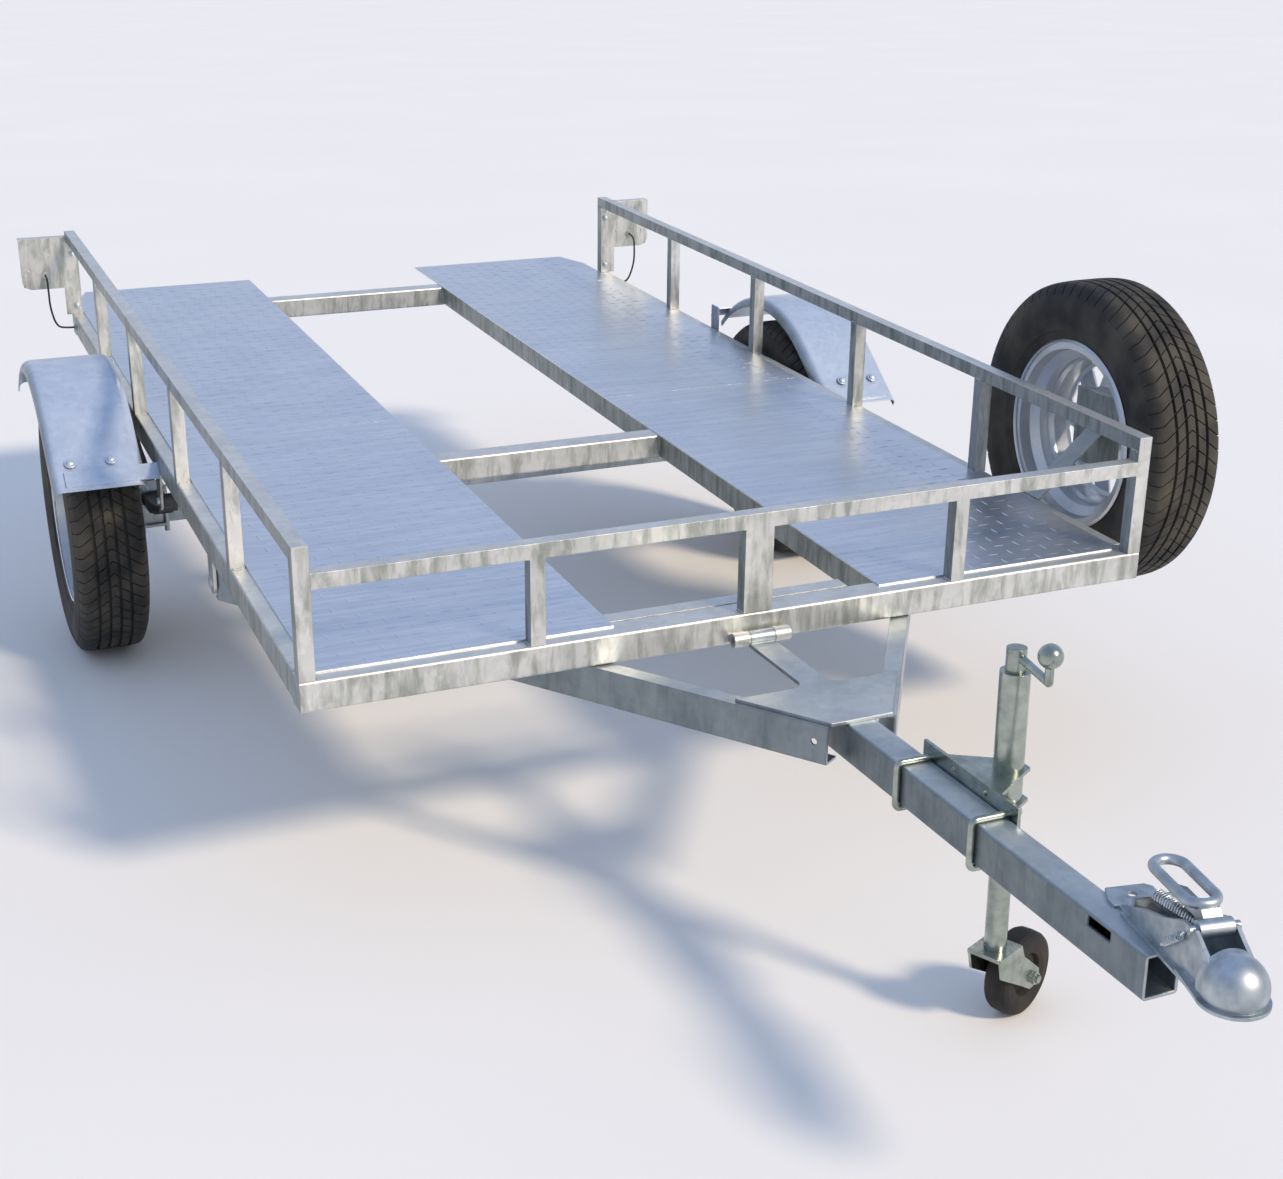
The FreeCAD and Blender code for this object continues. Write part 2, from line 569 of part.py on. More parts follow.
def lever():
    lug, base = mm("lever_y"), mm("lever_z")
    bore = mm("lever_pin_r") + 0.15
    half, r, z = mm("grip_half") - mm("grip_r"), mm("grip_r"), mm("grip_z")
    front, rear = lug + 18 + half, mm("grip_back") - half - r
    loop = Part.Wire([
        Part.makeLine(Vector(half, front, z), Vector(half, rear, z)),
        Part.Arc(Vector(half, rear, z), Vector(0, rear + half, z), Vector(-half, rear, z)).toShape(),
        Part.makeLine(Vector(-half, rear, z), Vector(-half, front, z)),
        Part.Arc(Vector(-half, front, z), Vector(0, front - half, z),
                 Vector(half, front, z)).toShape()])
    ring = Part.Face(Part.Wire(Part.makeCircle(r, Vector(half, front, z), Vector(0, 1, 0))))
    grip = loop.makePipe(ring)
    room = mm("cheek_half") - mm("cheek") - 1
    boss = Part.makeCylinder(11, 2 * room, Vector(-room, lug, base), Vector(1, 0, 0))
    neck = sheet_piece([(lug - 7, base), (lug + 11, z - 2), (lug + 24, z + 2), (lug + 30, z - 12),
                        (lug + 10, base - 6)], -12, 12, "X")
    wide = mm("trigger_half")
    trigger = sheet_piece([(-wide, lug + 20), (wide, lug + 20), (wide, rear - 24), (0, rear - 12),
                           (-wide, rear - 24)], z - 19, z - 14)
    body = grip.fuse([boss, neck, trigger])
    body = body.cut(Part.makeCylinder(bore, 4 * room, Vector(-2 * room, lug, base), Vector(1, 0, 0)))
    node(FRAME, "coupler_lever", feature("CouplerLever", on_ball(body.removeSplitter())))


# Jockey wheel: bracket and U-bolts, outer tube with crank, sliding leg, swivelling fork, wheel

def u_bolt(y):
    """A bent rod round the drawbar, its ends through the bracket with a nut on each."""
    r, bend = mm("u_bolt_r"), mm("u_bolt_bend")
    left, end = -mm("bar_width") / 2 - r, mm("bar_width") / 2 + mm("bracket") + 14
    top, base = mm("bar_top") + r, mm("bar_base") - r
    pieces = [Part.makeCylinder(r, top - base - 2 * bend, Vector(left, y, base + bend))]
    for z, turn in ((top, 1), (base, -1)):
        pieces.append(Part.makeCylinder(r, end - left - bend, Vector(left + bend, y, z),
                                        Vector(1, 0, 0)))
        ring = Part.Face(Part.Wire(Part.makeCircle(r, Vector(left, y, z - turn * bend),
                                                   Vector(0, 0, 1))))
        pieces.append(ring.revolve(Vector(left + bend, y, z - turn * bend),
                                   Vector(0, turn, 0), 90))
        nut_at = Vector(mm("bar_width") / 2 + mm("bracket") - 0.5, y, z)
        pieces.append(hexagon(1.8 * r, 8.5, nut_at, Vector(1, 0, 0)))
    return pieces[0].fuse(pieces[1:]).removeSplitter()


def jockey():
    x, y = "jockey_x", "jockey_y"
    bore = "jockey_r - jockey_wall"
    outer = cut("JockeyOuterCut",
                rod("JockeyOuterRound", "Z", x, y, "jockey_base", "jockey_r",
                    "jockey_top - jockey_base"),
                rod("JockeyOuterBore", "Z", x, y, "jockey_base + bush", bore,
                    "jockey_top - jockey_base - bush - cap"),
                rod("JockeyBush", "Z", x, y, "jockey_base - 1", "leg_r + slide_play", "bush + 2"),
                rod("CrankBore", "Z", x, y, "jockey_top - cap - 1", "crank_r + slide_play",
                    "cap + 2"))
    node(FRAME, "jockey_outer_tube", outer)

    plate_x = "bar_width / 2"
    plate_low = "bar_base - 2 * u_bolt_r - 6"
    back = box("BracketBack", plate_x, "clamp_y2 - 22", plate_low, "bracket",
               "clamp_y1 - clamp_y2 + 44", f"bar_top + bracket_rise - ({plate_low})")
    holes = [rod(f"BracketHole{index}", "X", "0", f"{y} + {side}", "bar_top + 10", "4.5", "60")
             for index, side in enumerate(("45", "-35"))]
    shelf_corners = [(plate_x, f"{y} + 70"), (plate_x, f"{y} - 70"), (f"{x} + 4", f"{y} - 28"),
                     (f"{x} + 26", f"{y} - 14"), (f"{x} + 26", f"{y} + 14"),
                     (f"{x} + 4", f"{y} + 28")]
    shelves = [bar(f"BracketShelf{index}", "Z", shelf_corners, "bracket", z=z)
               for index, z in enumerate(("bar_top + bracket_rise - bracket", "jockey_base + 4"))]
    plates = cut("BracketPlates", fuse("BracketJoined", cut("BracketDrilled", back, *holes), *shelves),
                 rod("ShelfBore", "Z", x, y, "jockey_base - 20", "jockey_r", "200"))
    bolts = [feature(f"UBolt{index}", u_bolt(mm(where)))
             for index, where in enumerate(("clamp_y1", "clamp_y2"))]
    node(FRAME, "jockey_bracket", fuse("JockeyBracketPlates", plates, *bolts))

    at = Vector(mm("jockey_x"), mm("jockey_y"), mm("jockey_top") + mm("slide_play"))
    r = mm("crank_rod_r")
    hub = Part.makeCylinder(mm("crank_hub_r"), mm("crank_hub"), at)
    screw_length = at.z - mm("screw_end") + 2
    screw = Part.makeCylinder(mm("crank_r"), screw_length, Vector(at.x, at.y, mm("screw_end")))
    start = at + Vector(0, 0, mm("crank_hub") - 10)
    elbow = start + Vector(0, -mm("crank_arm"), -mm("crank_drop"))
    ball = elbow + Vector(0, 0, mm("crank_neck"))
    arm = Part.makeCylinder(r, (elbow - start).Length, start, elbow - start)
    neck = Part.makeCylinder(r, mm("crank_neck"), elbow, Vector(0, 0, 1))
    knob = Part.makeSphere(mm("knob_r"), ball)
    crank = hub.fuse([screw, arm, neck, knob, Part.makeSphere(r, elbow)]).removeSplitter()
    node(FRAME, "jockey_crank", feature("JockeyCrank", crank))

    foot = "fork_top + fork_cap + slide_play"
    leg_end = "leg_top - bush"
    leg = cut("JockeyInner", rod("JockeyInnerRound", "Z", x, y, foot, "leg_r", f"{leg_end} - ({foot})"),
              rod("JockeyInnerBore", "Z", x, y, f"{foot} + 8", "leg_r - leg_tube_wall",
                  "leg_top - fork_top"))
    swivel = rod("SwivelPin", "Z", x, y, "fork_top - 4", "swivel_r", "fork_cap + 8")
    head = rod("SwivelHead", "Z", x, y, "fork_top - slide_play - 5", "swivel_r + 5", "5")
    node(FRAME, "jockey_inner_tube", fuse("JockeyLeg", leg, swivel, head))
    nut = cut("JockeyNutCut", rod("JockeyNutRound", "Z", x, y, leg_end, f"{bore} - slide_play", "bush"),
              rod("JockeyNutBore", "Z", x, y, f"{leg_end} - 1", "crank_r + thread_depth", "bush + 2"))
    node(FRAME, "jockey_nut", nut)

    wide = "fork_inner / 2"
    top = cut("ForkTopCut", box("ForkTop", f"-{wide} - fork_plate", "-fork_back", "fork_top",
                                "fork_inner + 2 * fork_plate", "2 * fork_back", "fork_cap"),
              rod("SwivelBore", "Z", "0", "0", "fork_top - 10", "swivel_r + slide_play", "40"))
    side = [("-fork_back", "fork_top + fork_cap"), ("fork_back", "fork_top + fork_cap"),
            ("fork_back + 9", "fork_top - 16"), ("trail + 15", "jockey_axle_z + 9"),
            ("trail + 17", "jockey_axle_z - 4"), ("trail + 8", "jockey_axle_z - 15"),
            ("trail - 8", "jockey_axle_z - 16"), ("trail - 32", "jockey_axle_z"),
            ("8 - fork_back", "fork_top - 28")]
    arms = [bar(f"ForkArm{name}", "X", side, "fork_plate", x=low)
            for name, low in (("Left", f"-{wide} - fork_plate"), ("Right", wide))]
    pin = rod("JockeyAxle", "X", f"-{wide} - fork_plate - 10", "trail", "jockey_axle_z",
              "jockey_axle_r", "fork_inner + 2 * fork_plate + 20")
    nut_x = mm("fork_inner") / 2 + mm("fork_plate")
    nuts = [feature(f"JockeyNut{index}",
                    hexagon(1.7 * mm("jockey_axle_r"), 6,
                            Vector(sign * nut_x, mm("trail"), mm("jockey_axle_z")), Vector(sign, 0, 0)))
            for index, sign in enumerate((-1, 1))]
    fork = fuse("JockeyFork", top, *arms, pin, *nuts)
    bind(fork, Placement__Rotation__Angle="jockey_turn")
    place(fork, x, y)
    node(FRAME, "jockey_fork", fork)

    r, half, hub_r = mm("jockey_wheel_r"), mm("jockey_wheel_width") / 2, mm("jockey_hub_r")
    bore_r, rim_in = mm("jockey_axle_r") + mm("slide_play"), mm("fork_inner") / 2 - 0.6
    profile = [(rim_in, bore_r), (rim_in, 13), (half / 2, 15), (half / 2, hub_r - 3),
               (half - 3, hub_r), (half, hub_r + 8), (half, r - 10), (half - 3, r - 3.5),
               (half - 8, r - 0.8), (0, r)]
    tyre = turned(profile + [(-a, radius) for a, radius in profile[-2::-1]])
    tyre.translate(Vector(0, mm("trail"), mm("jockey_axle_z")))
    tyre.rotate(Vector(), Vector(0, 0, 1), mm("jockey_turn"))
    tyre.translate(Vector(mm("jockey_x"), mm("jockey_y"), 0))
    node(FRAME, "jockey_wheel", feature("JockeyWheel", tyre))


# Road wheels: rim and tyre turned about their axle from their sections

def chain_shell(points, thickness):
    """A closed outline of one thickness along a chain of (along, radius) points."""
    normals = []
    for (a0, r0), (a1, r1) in zip(points, points[1:]):
        length = math.hypot(a1 - a0, r1 - r0)
        normals.append(((r1 - r0) / length, (a0 - a1) / length))
    inner = []
    for index, (a, r) in enumerate(points):
        before = normals[max(index - 1, 0)]
        after = normals[min(index, len(normals) - 1)]
        share = thickness / (1 + before[0] * after[0] + before[1] * after[1])
        inner.append((a + (before[0] + after[0]) * share, r + (before[1] + after[1]) * share))
    return list(points) + inner[::-1]


def turned(points):
    """The outline turned about the wheel's own axle, which lies along x."""
    corners = [Vector(a, 0, r) for a, r in points]
    face = Part.Face(Part.makePolygon(corners + corners[:1]))
    return face.revolve(Vector(0, 0, 0), Vector(1, 0, 0), 360)


def rim_shape():
    half = mm("rim_width") / 2
    rim_r, bead, well = mm("rim_r"), mm("bead_r"), mm("well_r")
    barrel = [(-half - 8, rim_r - 4), (-half - 4, rim_r), (-half, rim_r - 4), (-half, bead + 1),
              (-half + 20, bead - 2), (-half + 32, well), (half - 40, well), (half - 26, bead - 2),
              (half, bead + 1), (half, rim_r - 4), (half + 4, rim_r), (half + 8, rim_r - 4)]
    ring = turned(chain_shell(barrel, mm("rim_wall")))
    mount = mm("mount_offset")
    weld_r = well - mm("rim_wall") + 0.4
    dish = [(-8, weld_r), (6, weld_r), (mount + 14, weld_r - 9), (mount + 19, weld_r - 20),
            (mount + 8, 82), (mount, 74), (mount, mm("hub_hole_r"))]
    disc = turned(chain_shell(dish, mm("disc_wall")))
    tools = []
    count, inner, outer = int(mm("window_count")), mm("window_in"), mm("window_out")
    narrow, wide = mm("window_half") / 3, mm("window_half") + 10
    window = sheet_piece([(-narrow, inner), (narrow, inner), (wide, outer - 4), (wide - 5, outer),
                          (5 - wide, outer), (-wide, outer - 4)], 4, mount + 40, "X")
    for index in range(count):
        tool = window.copy()
        tool.rotate(Vector(), Vector(1, 0, 0), 360 / count * (index + 0.5))
        tools.append(tool)
    studs = int(mm("stud_count"))
    for index in range(studs):
        turn = 2 * math.pi * index / studs
        at = Vector(0, mm("stud_circle") * math.sin(turn), mm("stud_circle") * math.cos(turn))
        tools.append(Part.makeCylinder(mm("stud_r") + 1, 80, at, Vector(1, 0, 0)))
    return ring.fuse(disc.cut(tools)).removeSplitter()


def tyre_shape():
    width, r, wall = mm("tyre_width") / 2, mm("tyre_r"), mm("tyre_wall")
    bead, rim_half = mm("bead_r"), mm("rim_width") / 2
    half = [(rim_half - 0.4, bead + 1.3), (rim_half - 0.4, bead + 16), (width - 5, bead + 40),
            (width, bead + 68), (width - 4, r - 24), (width - 12, r - 8), (width - 24, r - 2)]
    tread = []
    step, groove = mm("groove_step"), mm("groove")
    for middle in (1.5 * step, 0.5 * step):
        tread += [(middle + groove / 2, r), (middle + groove / 2 - 1, r - groove),
                  (middle - groove / 2 + 1, r - groove), (middle - groove / 2, r)]
    outer = half + tread + [(-a, radius) for a, radius in (half + tread)[::-1]]
    lining = half + [(0, r - 1)]
    lining = lining + [(-a, radius) for a, radius in lining[-2::-1]]
    inner = [(a * (1 - wall / width), radius - wall if radius > bead + 45 else radius)
             for a, radius in lining]
    return turned(outer + inner[::-1])


def wheel_pair(name, shape, x, y, z, sign):
    """A wheel part set at x, y, z with its outer face away from the bed."""
    turned_part = shape.copy()
    if sign < 0:
        turned_part = turned_part.mirror(Vector(), Vector(1, 0, 0))
    turned_part.translate(Vector(sign * x, y, z))
    return feature(name, turned_part)


def studs_and_nuts(mount, y, z, through):
    """Wheel studs that run outwards from through, with their nuts on the disc's outer face."""
    pieces = []
    count = int(mm("stud_count"))
    face = mount + mm("disc_wall")
    for index in range(count):
        turn = 2 * math.pi * index / count
        up = Vector(0, mm("stud_circle") * math.sin(turn), mm("stud_circle") * math.cos(turn))
        at = Vector(through, y, z) + up
        pieces.append(Part.makeCylinder(mm("stud_r"), face + mm("nut") + 4 - through, at,
                                        Vector(1, 0, 0)))
        pieces.append(hexagon(mm("nut_r"), mm("nut"), Vector(face, y, z) + up, Vector(1, 0, 0)))
    return pieces


def wheels():
    rim, tyre = rim_shape(), tyre_shape()
    x, y, z = mm("wheel_x"), mm("axle_y"), mm("axle_z")
    hub_in = mm("half_width") + mm("guard_gap")
    mount = x + mm("mount_offset") - mm("disc_wall")
    for side, sign in SIDES:
        barrel = Part.makeCylinder(mm("hub_r"), mount - hub_in, Vector(hub_in, y, z), Vector(1, 0, 0))
        flange = Part.makeCylinder(70, 9, Vector(mount - 9, y, z), Vector(1, 0, 0))
        nose = Part.makeCylinder(mm("hub_hole_r") - 1, 20, Vector(mount, y, z), Vector(1, 0, 0))
        dust_cap = Part.makeCylinder(mm("hub_hole_r") - 7, 14, Vector(mount + 20, y, z),
                                     Vector(1, 0, 0))
        bore = Part.makeCylinder(mm("stub_r") + mm("hub_play"), mount - hub_in + 6,
                                 Vector(hub_in, y, z), Vector(1, 0, 0))
        hub = barrel.fuse([flange, nose, dust_cap] + studs_and_nuts(mount, y, z, mount - 12))
        hub = hub.cut(bore)
        if sign < 0:
            hub = hub.mirror(Vector(), Vector(1, 0, 0))
        node(BED, f"wheel_hub_{side}", feature(f"WheelHub{side}", hub))
        node(BED, f"wheel_rim_{side}", wheel_pair(f"WheelRim{side}", rim, x, y, z, sign))
        node(BED, f"wheel_tyre_{side}", wheel_pair(f"WheelTyre{side}", tyre, x, y, z, sign))
    spare = (mm("spare_x"), mm("spare_y"), mm("spare_z"))
    node(BED, "spare_rim", wheel_pair("SpareRim", rim, *spare, 1))
    node(BED, "spare_tyre", wheel_pair("SpareTyre", tyre, *spare, 1))


# Axle on leaf springs, hung from the side rails

def axle():
    half = "axle_beam / 2"
    beam = box("AxleBeam", "-half_width", f"axle_y - {half}", f"axle_z - {half}", "bed_width",
               "axle_beam", "axle_beam")
    stub = rod("AxleStubs", "X", "-(wheel_x - 4)", "axle_y", "axle_z", "stub_r", "2 * (wheel_x - 4)")
    low = f"axle_z - {half} - 6"
    seat = f"axle_z + {half} + leaf * leaves + clamp_gap"
    reach = "spring_bolt_r * 2"
    clamps = [box("ClampTop", f"spring_x - spring_width / 2 - {reach}", f"axle_y - {half} - {reach}",
                  seat, f"spring_width + 2 * {reach}", f"axle_beam + 2 * {reach}", "6"),
              box("ClampBase", f"spring_x - spring_width / 2 - {reach}",
                  f"axle_y - {half} - {reach}", low, f"spring_width + 2 * {reach}",
                  f"axle_beam + 2 * {reach}", "6")]
    for index, (side, ahead) in enumerate(((-1, -1), (-1, 1), (1, -1), (1, 1))):
        clamps.append(rod(f"ClampBolt{index}", "Z",
                          f"spring_x + {side} * (spring_width / 2 + 1 + spring_bolt_r)",
                          f"axle_y + {ahead} * ({half} + spring_bolt_r)", f"{low} - 12",
                          "spring_bolt_r", f"{seat} - ({low}) + 24"))
    clamp = fuse("SpringClamp", *clamps)
    node(BED, "axle", fuse("AxleAndStubs", beam, stub, clamp, mirror("SpringClampMirrored", clamp)))


def strip_arc(centre_y, centre_z, radius, thick, start, end, x, width):
    """A curved strip of one thickness between two angles, measured from +y towards +z."""
    def point(r, angle):
        return Vector(x, centre_y + r * math.cos(angle), centre_z + r * math.sin(angle))
    middle = (start + end) / 2
    outer = Part.Arc(point(radius + thick, start), point(radius + thick, middle),
                     point(radius + thick, end)).toShape()
    inner = Part.Arc(point(radius, end), point(radius, middle), point(radius, start)).toShape()
    wire = Part.Wire([outer, Part.makeLine(point(radius + thick, end), point(radius, end)), inner,
                      Part.makeLine(point(radius, start), point(radius + thick, start))])
    return Part.Face(wire).extrude(Vector(width, 0, 0))


def springs():
    y, half = mm("axle_y"), mm("spring_span") / 2
    thick, count, eye_r = mm("leaf"), int(mm("leaves")), mm("eye_r")
    seat = mm("axle_z") + mm("axle_beam") / 2
    main = seat + thick * count
    rise = mm("eye_z") - main + thick - eye_r
    bend = 2 * math.atan2(rise, half)
    radius = half / math.sin(bend) - thick + eye_r
    low = mm("spring_x") - mm("spring_width") / 2
    for side, sign in SIDES:
        leaves, bores = [], []
        for index in range(count):
            reach = bend * (1 - 0.22 * index)
            leaves.append(strip_arc(y, main + radius, radius + thick * index, thick,
                                    -math.pi / 2 - reach, -math.pi / 2 + reach, low,
                                    mm("spring_width")))
        for end in (-1, 1):
            eye = Vector(low, y + end * half, mm("eye_z"))
            leaves.append(Part.makeCylinder(eye_r, mm("spring_width"), eye, Vector(1, 0, 0)))
            bores.append(Part.makeCylinder(mm("eye_pin_r") + 0.05, mm("spring_width"), eye,
                                           Vector(1, 0, 0)))
        body = leaves[0].fuse(leaves[1:]).cut(bores).removeSplitter()
        if sign < 0:
            body = body.mirror(Vector(), Vector(1, 0, 0))
        node(BED, f"leaf_spring_{side}", feature(f"LeafSpring{side}", body))


def hangers():
    inner = "spring_x - spring_width / 2 - hanger - hanger_play"
    outer = "spring_x + spring_width / 2 + hanger_play"
    wide = "spring_width + 2 * hanger + 2 * hanger_play"
    plates = []
    for index, y in enumerate(("axle_y - spring_span / 2", "axle_y + spring_span / 2")):
        for name, x in (("Inner", inner), ("Outer", outer)):
            corners = [(f"{y} - 30", "0"), (f"{y} - 17", "eye_z - 8"), (f"{y} - 9", "eye_z - 17"),
                       (f"{y} + 9", "eye_z - 17"), (f"{y} + 17", "eye_z - 8"), (f"{y} + 30", "0")]
            plates.append(bar(f"Hanger{index}{name}", "X", corners, "hanger", x=x))
        plates.append(box(f"Hanger{index}Top", inner, f"{y} - 30", "-6", wide, "60", "6"))
        plates.append(rod(f"Hanger{index}Pin", "X", f"{inner} - 5", y, "eye_z", "eye_pin_r",
                          f"{wide} + 10"))
    right = fuse("SpringHangers", *plates)
    node(BED, "spring_hangers", right, mirror("SpringHangersMirrored", right))


# Mudguards of pressed sheet with rounded shoulders, on flat bars from the side rails

def guard_section(at):
    """The guard's section across the wheel, standing straight up over the axle at x, y, z."""
    low, high = mm("guard_inner"), mm("guard_outer")
    thick, bend, side = mm("guard_wall"), mm("guard_round"), mm("guard_side")

    def run(inset):
        top, turn = mm("guard_r") - inset, bend - inset
        left, right = low + inset, high - inset
        short = turn * (1 - math.sqrt(0.5))
        corner = top - turn
        points = [Vector(left, at.y, at.z + mm("guard_r") - side), Vector(left, at.y, at.z + corner),
                  Vector(left + turn, at.y, at.z + top), Vector(right - turn, at.y, at.z + top),
                  Vector(right, at.y, at.z + corner),
                  Vector(right, at.y, at.z + mm("guard_r") - side)]
        bends = [Vector(left + short, at.y, at.z + top - short),
                 Vector(right - short, at.y, at.z + top - short)]
        return [Part.makeLine(points[0], points[1]),
                Part.Arc(points[1], bends[0], points[2]).toShape(),
                Part.makeLine(points[2], points[3]),
                Part.Arc(points[3], bends[1], points[4]).toShape(),
                Part.makeLine(points[4], points[5])], points[0], points[-1]

    outer, outer_left, outer_right = run(0)
    inner, inner_left, inner_right = run(thick)
    edges = outer + inner + [Part.makeLine(outer_left, inner_left),
                             Part.makeLine(outer_right, inner_right)]
    return Part.Face(Part.Wire(Part.__sortEdges__(edges)))


def mudguards():
    axle_at = Vector(0, mm("axle_y"), mm("axle_z"))
    back, front = mm("guard_back"), mm("guard_front")
    section_face = guard_section(axle_at)
    section_face.rotate(axle_at, Vector(1, 0, 0), back - 90)
    arc = section_face.revolve(axle_at, Vector(1, 0, 0), front - back)
    section_face.rotate(axle_at, Vector(1, 0, 0), front - back)
    turn = math.radians(front)
    down = Vector(0, -math.sin(turn), math.cos(turn))
    guard = arc.fuse(section_face.extrude(down * mm("guard_run"))).removeSplitter()

    start, wide, thick = mm("half_width"), mm("guard_bar"), mm("guard_bar_wall")
    length = mm("guard_outer") - mm("guard_round") - 6 - start
    outward = Vector(0, math.cos(turn), math.sin(turn))
    along = mm("guard_run") - mm("guard_bar_up")
    foot = axle_at + outward * mm("guard_r") + down * (along + wide / 2)
    front_bar = Part.makeBox(length, thick, wide)
    front_bar.Placement = FreeCAD.Placement(
        Vector(start, foot.y, foot.z),
        FreeCAD.Rotation(Vector(1, 0, 0), outward, -down, "XYZ"))
    turn = math.radians(back + 5)
    outward = Vector(0, math.cos(turn), math.sin(turn))
    rising = Vector(0, -math.sin(turn), math.cos(turn))
    foot = axle_at + outward * (mm("guard_r") + 1) - rising * wide / 2
    rear_bar = Part.makeBox(length, thick, wide)
    rear_bar.Placement = FreeCAD.Placement(
        Vector(start, foot.y, foot.z), FreeCAD.Rotation(Vector(1, 0, 0), outward, rising, "XYZ"))
    tab = Part.makeBox(thick, wide, mm("rail") + wide, Vector(start, foot.y - wide, wide / 2))
    bars = front_bar.fuse([rear_bar.fuse(tab)])
    bars = bars.cut(guard)
    for side, sign in SIDES:
        pieces = [guard] + bars.Solids
        if sign < 0:
            pieces = [item.mirror(Vector(), Vector(1, 0, 0)) for item in pieces]
        node(BED, f"mudguard_{side}",
             *[feature(f"Guard{side}{index}", item) for index, item in enumerate(pieces)])


# Spare wheel carrier: an angle bar from the side rail up to a plate behind the spare's disc

def carrier():
    plate_x = "spare_x + mount_offset - disc_wall - carrier_plate"
    low, high = "rail - carrier", "rail"
    rise_to = "spare_z + 26"
    web = [("half_width", low), (plate_x, f"{rise_to} - carrier"), (plate_x, rise_to),
           ("half_width", high)]
    flange = [("half_width", f"{high} - carrier_wall"), (plate_x, f"{rise_to} - carrier_wall"),
              (plate_x, rise_to), ("half_width", high)]
    web_bar = bar("CarrierWeb", "Y", web, "carrier_wall", y="spare_y")
    top_bar = bar("CarrierFlange", "Y", flange, "carrier", y="spare_y - carrier")
    plate = box("CarrierPlate", plate_x, "spare_y - 72", "spare_z - 72", "carrier_plate", "144",
                "144")
    at = Vector(mm("spare_x"), mm("spare_y"), mm("spare_z"))
    studs = studs_and_nuts(mm("mount_offset"), at.y, at.z, mm("mount_offset") - mm("disc_wall") - 6)
    held = []
    for index in (2, 3, 6, 7):
        studs[index].translate(Vector(at.x, 0, 0))
        held.append(feature(f"CarrierStud{index}", studs[index]))
    node(BED, "spare_carrier", fuse("SpareCarrier", web_bar, top_bar, plate, *held))



# Tail lamps on plates outside the rear posts, each with its lead into the side rail

def cord_path(points):
    """Straight runs through the points, joined by arcs as large as their runs allow."""
    edges, here, radii = [], points[0], []
    for before, point, after in zip(points, points[1:], points[2:]):
        back, ahead = before - point, after - point
        half_turn = (math.pi - back.getAngle(ahead)) / 2
        reach = 0.45 * min(back.Length, ahead.Length)
        back.normalize()
        ahead.normalize()
        start, end = point + back * reach, point + ahead * reach
        radius = reach / math.tan(half_turn)
        bisector = back + ahead
        bisector.normalize()
        middle = point + bisector * (radius / math.cos(half_turn) - radius)
        edges += [Part.makeLine(here, start), Part.Arc(start, middle, end).toShape()]
        radii.append(round(radius, 1))
        here = end
    edges.append(Part.makeLine(here, points[-1]))
    print("lead radii", radii)
    return Part.Wire(edges)


def lamps():
    back = "bed_length - fence_tube - lamp_plate"
    low, out = "lamp_top - lamp_height", "half_width + lamp_width"
    corner = "lamp_round * (1 - sqrt(0.5))"
    corners = [("half_width", "lamp_top"), ("half_width", low), (f"{out} - lamp_round", low),
               (f"{out} - {corner}", f"{low} + {corner}"), (out, f"{low} + lamp_round"),
               (out, "lamp_top")]
    plate = bar("LampPlate", "Y", corners, "lamp_plate", y=back)
    top = box("LampTop", "half_width", back, "lamp_top - lamp_plate", "lamp_width",
              "lamp_depth / 2", "lamp_plate")
    strip = box("LampStrip", "half_width - fence_tube", back, "rail + 2",
                "fence_tube + lamp_strip / 2", "lamp_plate", "lamp_top - rail - 30")
    bolts = [rod(f"LampBolt{index}", "Y", "half_width - fence_tube / 2", f"{back} - 4", z, "6", "5")
             for index, z in enumerate(("rail + 24", "lamp_top - 44"))]
    screws = [rod(f"LampScrew{index}", "Y", x, f"{back} - 2", "lamp_top - 84", "3", "3")
              for index, x in enumerate((f"half_width + 22", f"{out} - 18"))]
    bracket = fuse("LampBracket", plate, top, strip, *bolts, *screws)
    lamp = box("LampBody", "half_width + 4", f"{back} + lamp_plate", "lamp_top - lamp_height + 6",
               "lamp_width - 8", "lamp_depth", "lamp_height - 12 - lamp_plate")
    gland = rod("LampGland", "Y", "half_width + gland_x", f"{back} - gland", "gland_z", "gland_r",
                "gland")
    far_gland = rod("RailGland", "X", "half_width", "rail_gland_y", "rail_gland_z", "gland_r",
                    "gland")
    start = Vector(mm("half_width") + mm("gland_x"),
                   mm("bed_length") - mm("fence_tube") - mm("lamp_plate") - mm("gland"),
                   mm("gland_z"))
    end = Vector(mm("half_width") + mm("gland"), mm("rail_gland_y"), mm("rail_gland_z"))
    route = [start, start + Vector(0, -34, 0), start + Vector(0, -40, -36),
             start + Vector(0, -38, -76), end + Vector(44, 2, 6), end + Vector(22, 0, 0), end]
    path = cord_path(route)
    print("lead length", round(path.Length, 1))
    disc = Part.Face(Part.Wire(Part.makeCircle(mm("lead_r"), start, Vector(0, 1, 0))))
    lead = path.makePipe(disc)
    print("lead volume over section times length",
          lead.Volume / (math.pi * mm("lead_r") ** 2 * path.Length), lead.isValid())
    for side, sign in SIDES:
        node(BED, f"lamp_bracket_{side}", on_side(f"LampBracket{side}", sign, bracket),
             on_side(f"LampGland{side}", sign, gland), on_side(f"RailGland{side}", sign, far_gland))
        node(BED, f"lamp_{side}", on_side(f"Lamp{side}", sign, lamp))
        own = lead if sign > 0 else lead.mirror(Vector(), Vector(1, 0, 0))
        node(BED, f"lamp_lead_{side}", feature(f"LampLead{side}", own))


bed_rails()
fences()
runways()
bed_latch()
pivots()
frame_legs()
frame_plate()
drawbar()
coupler()
lever()
jockey()
wheels()
axle()
springs()
hangers()
mudguards()
carrier()
lamps()
doc.recompute()


# Standing: the A-frame turned up about its pivots, then all of it set down on its wheels

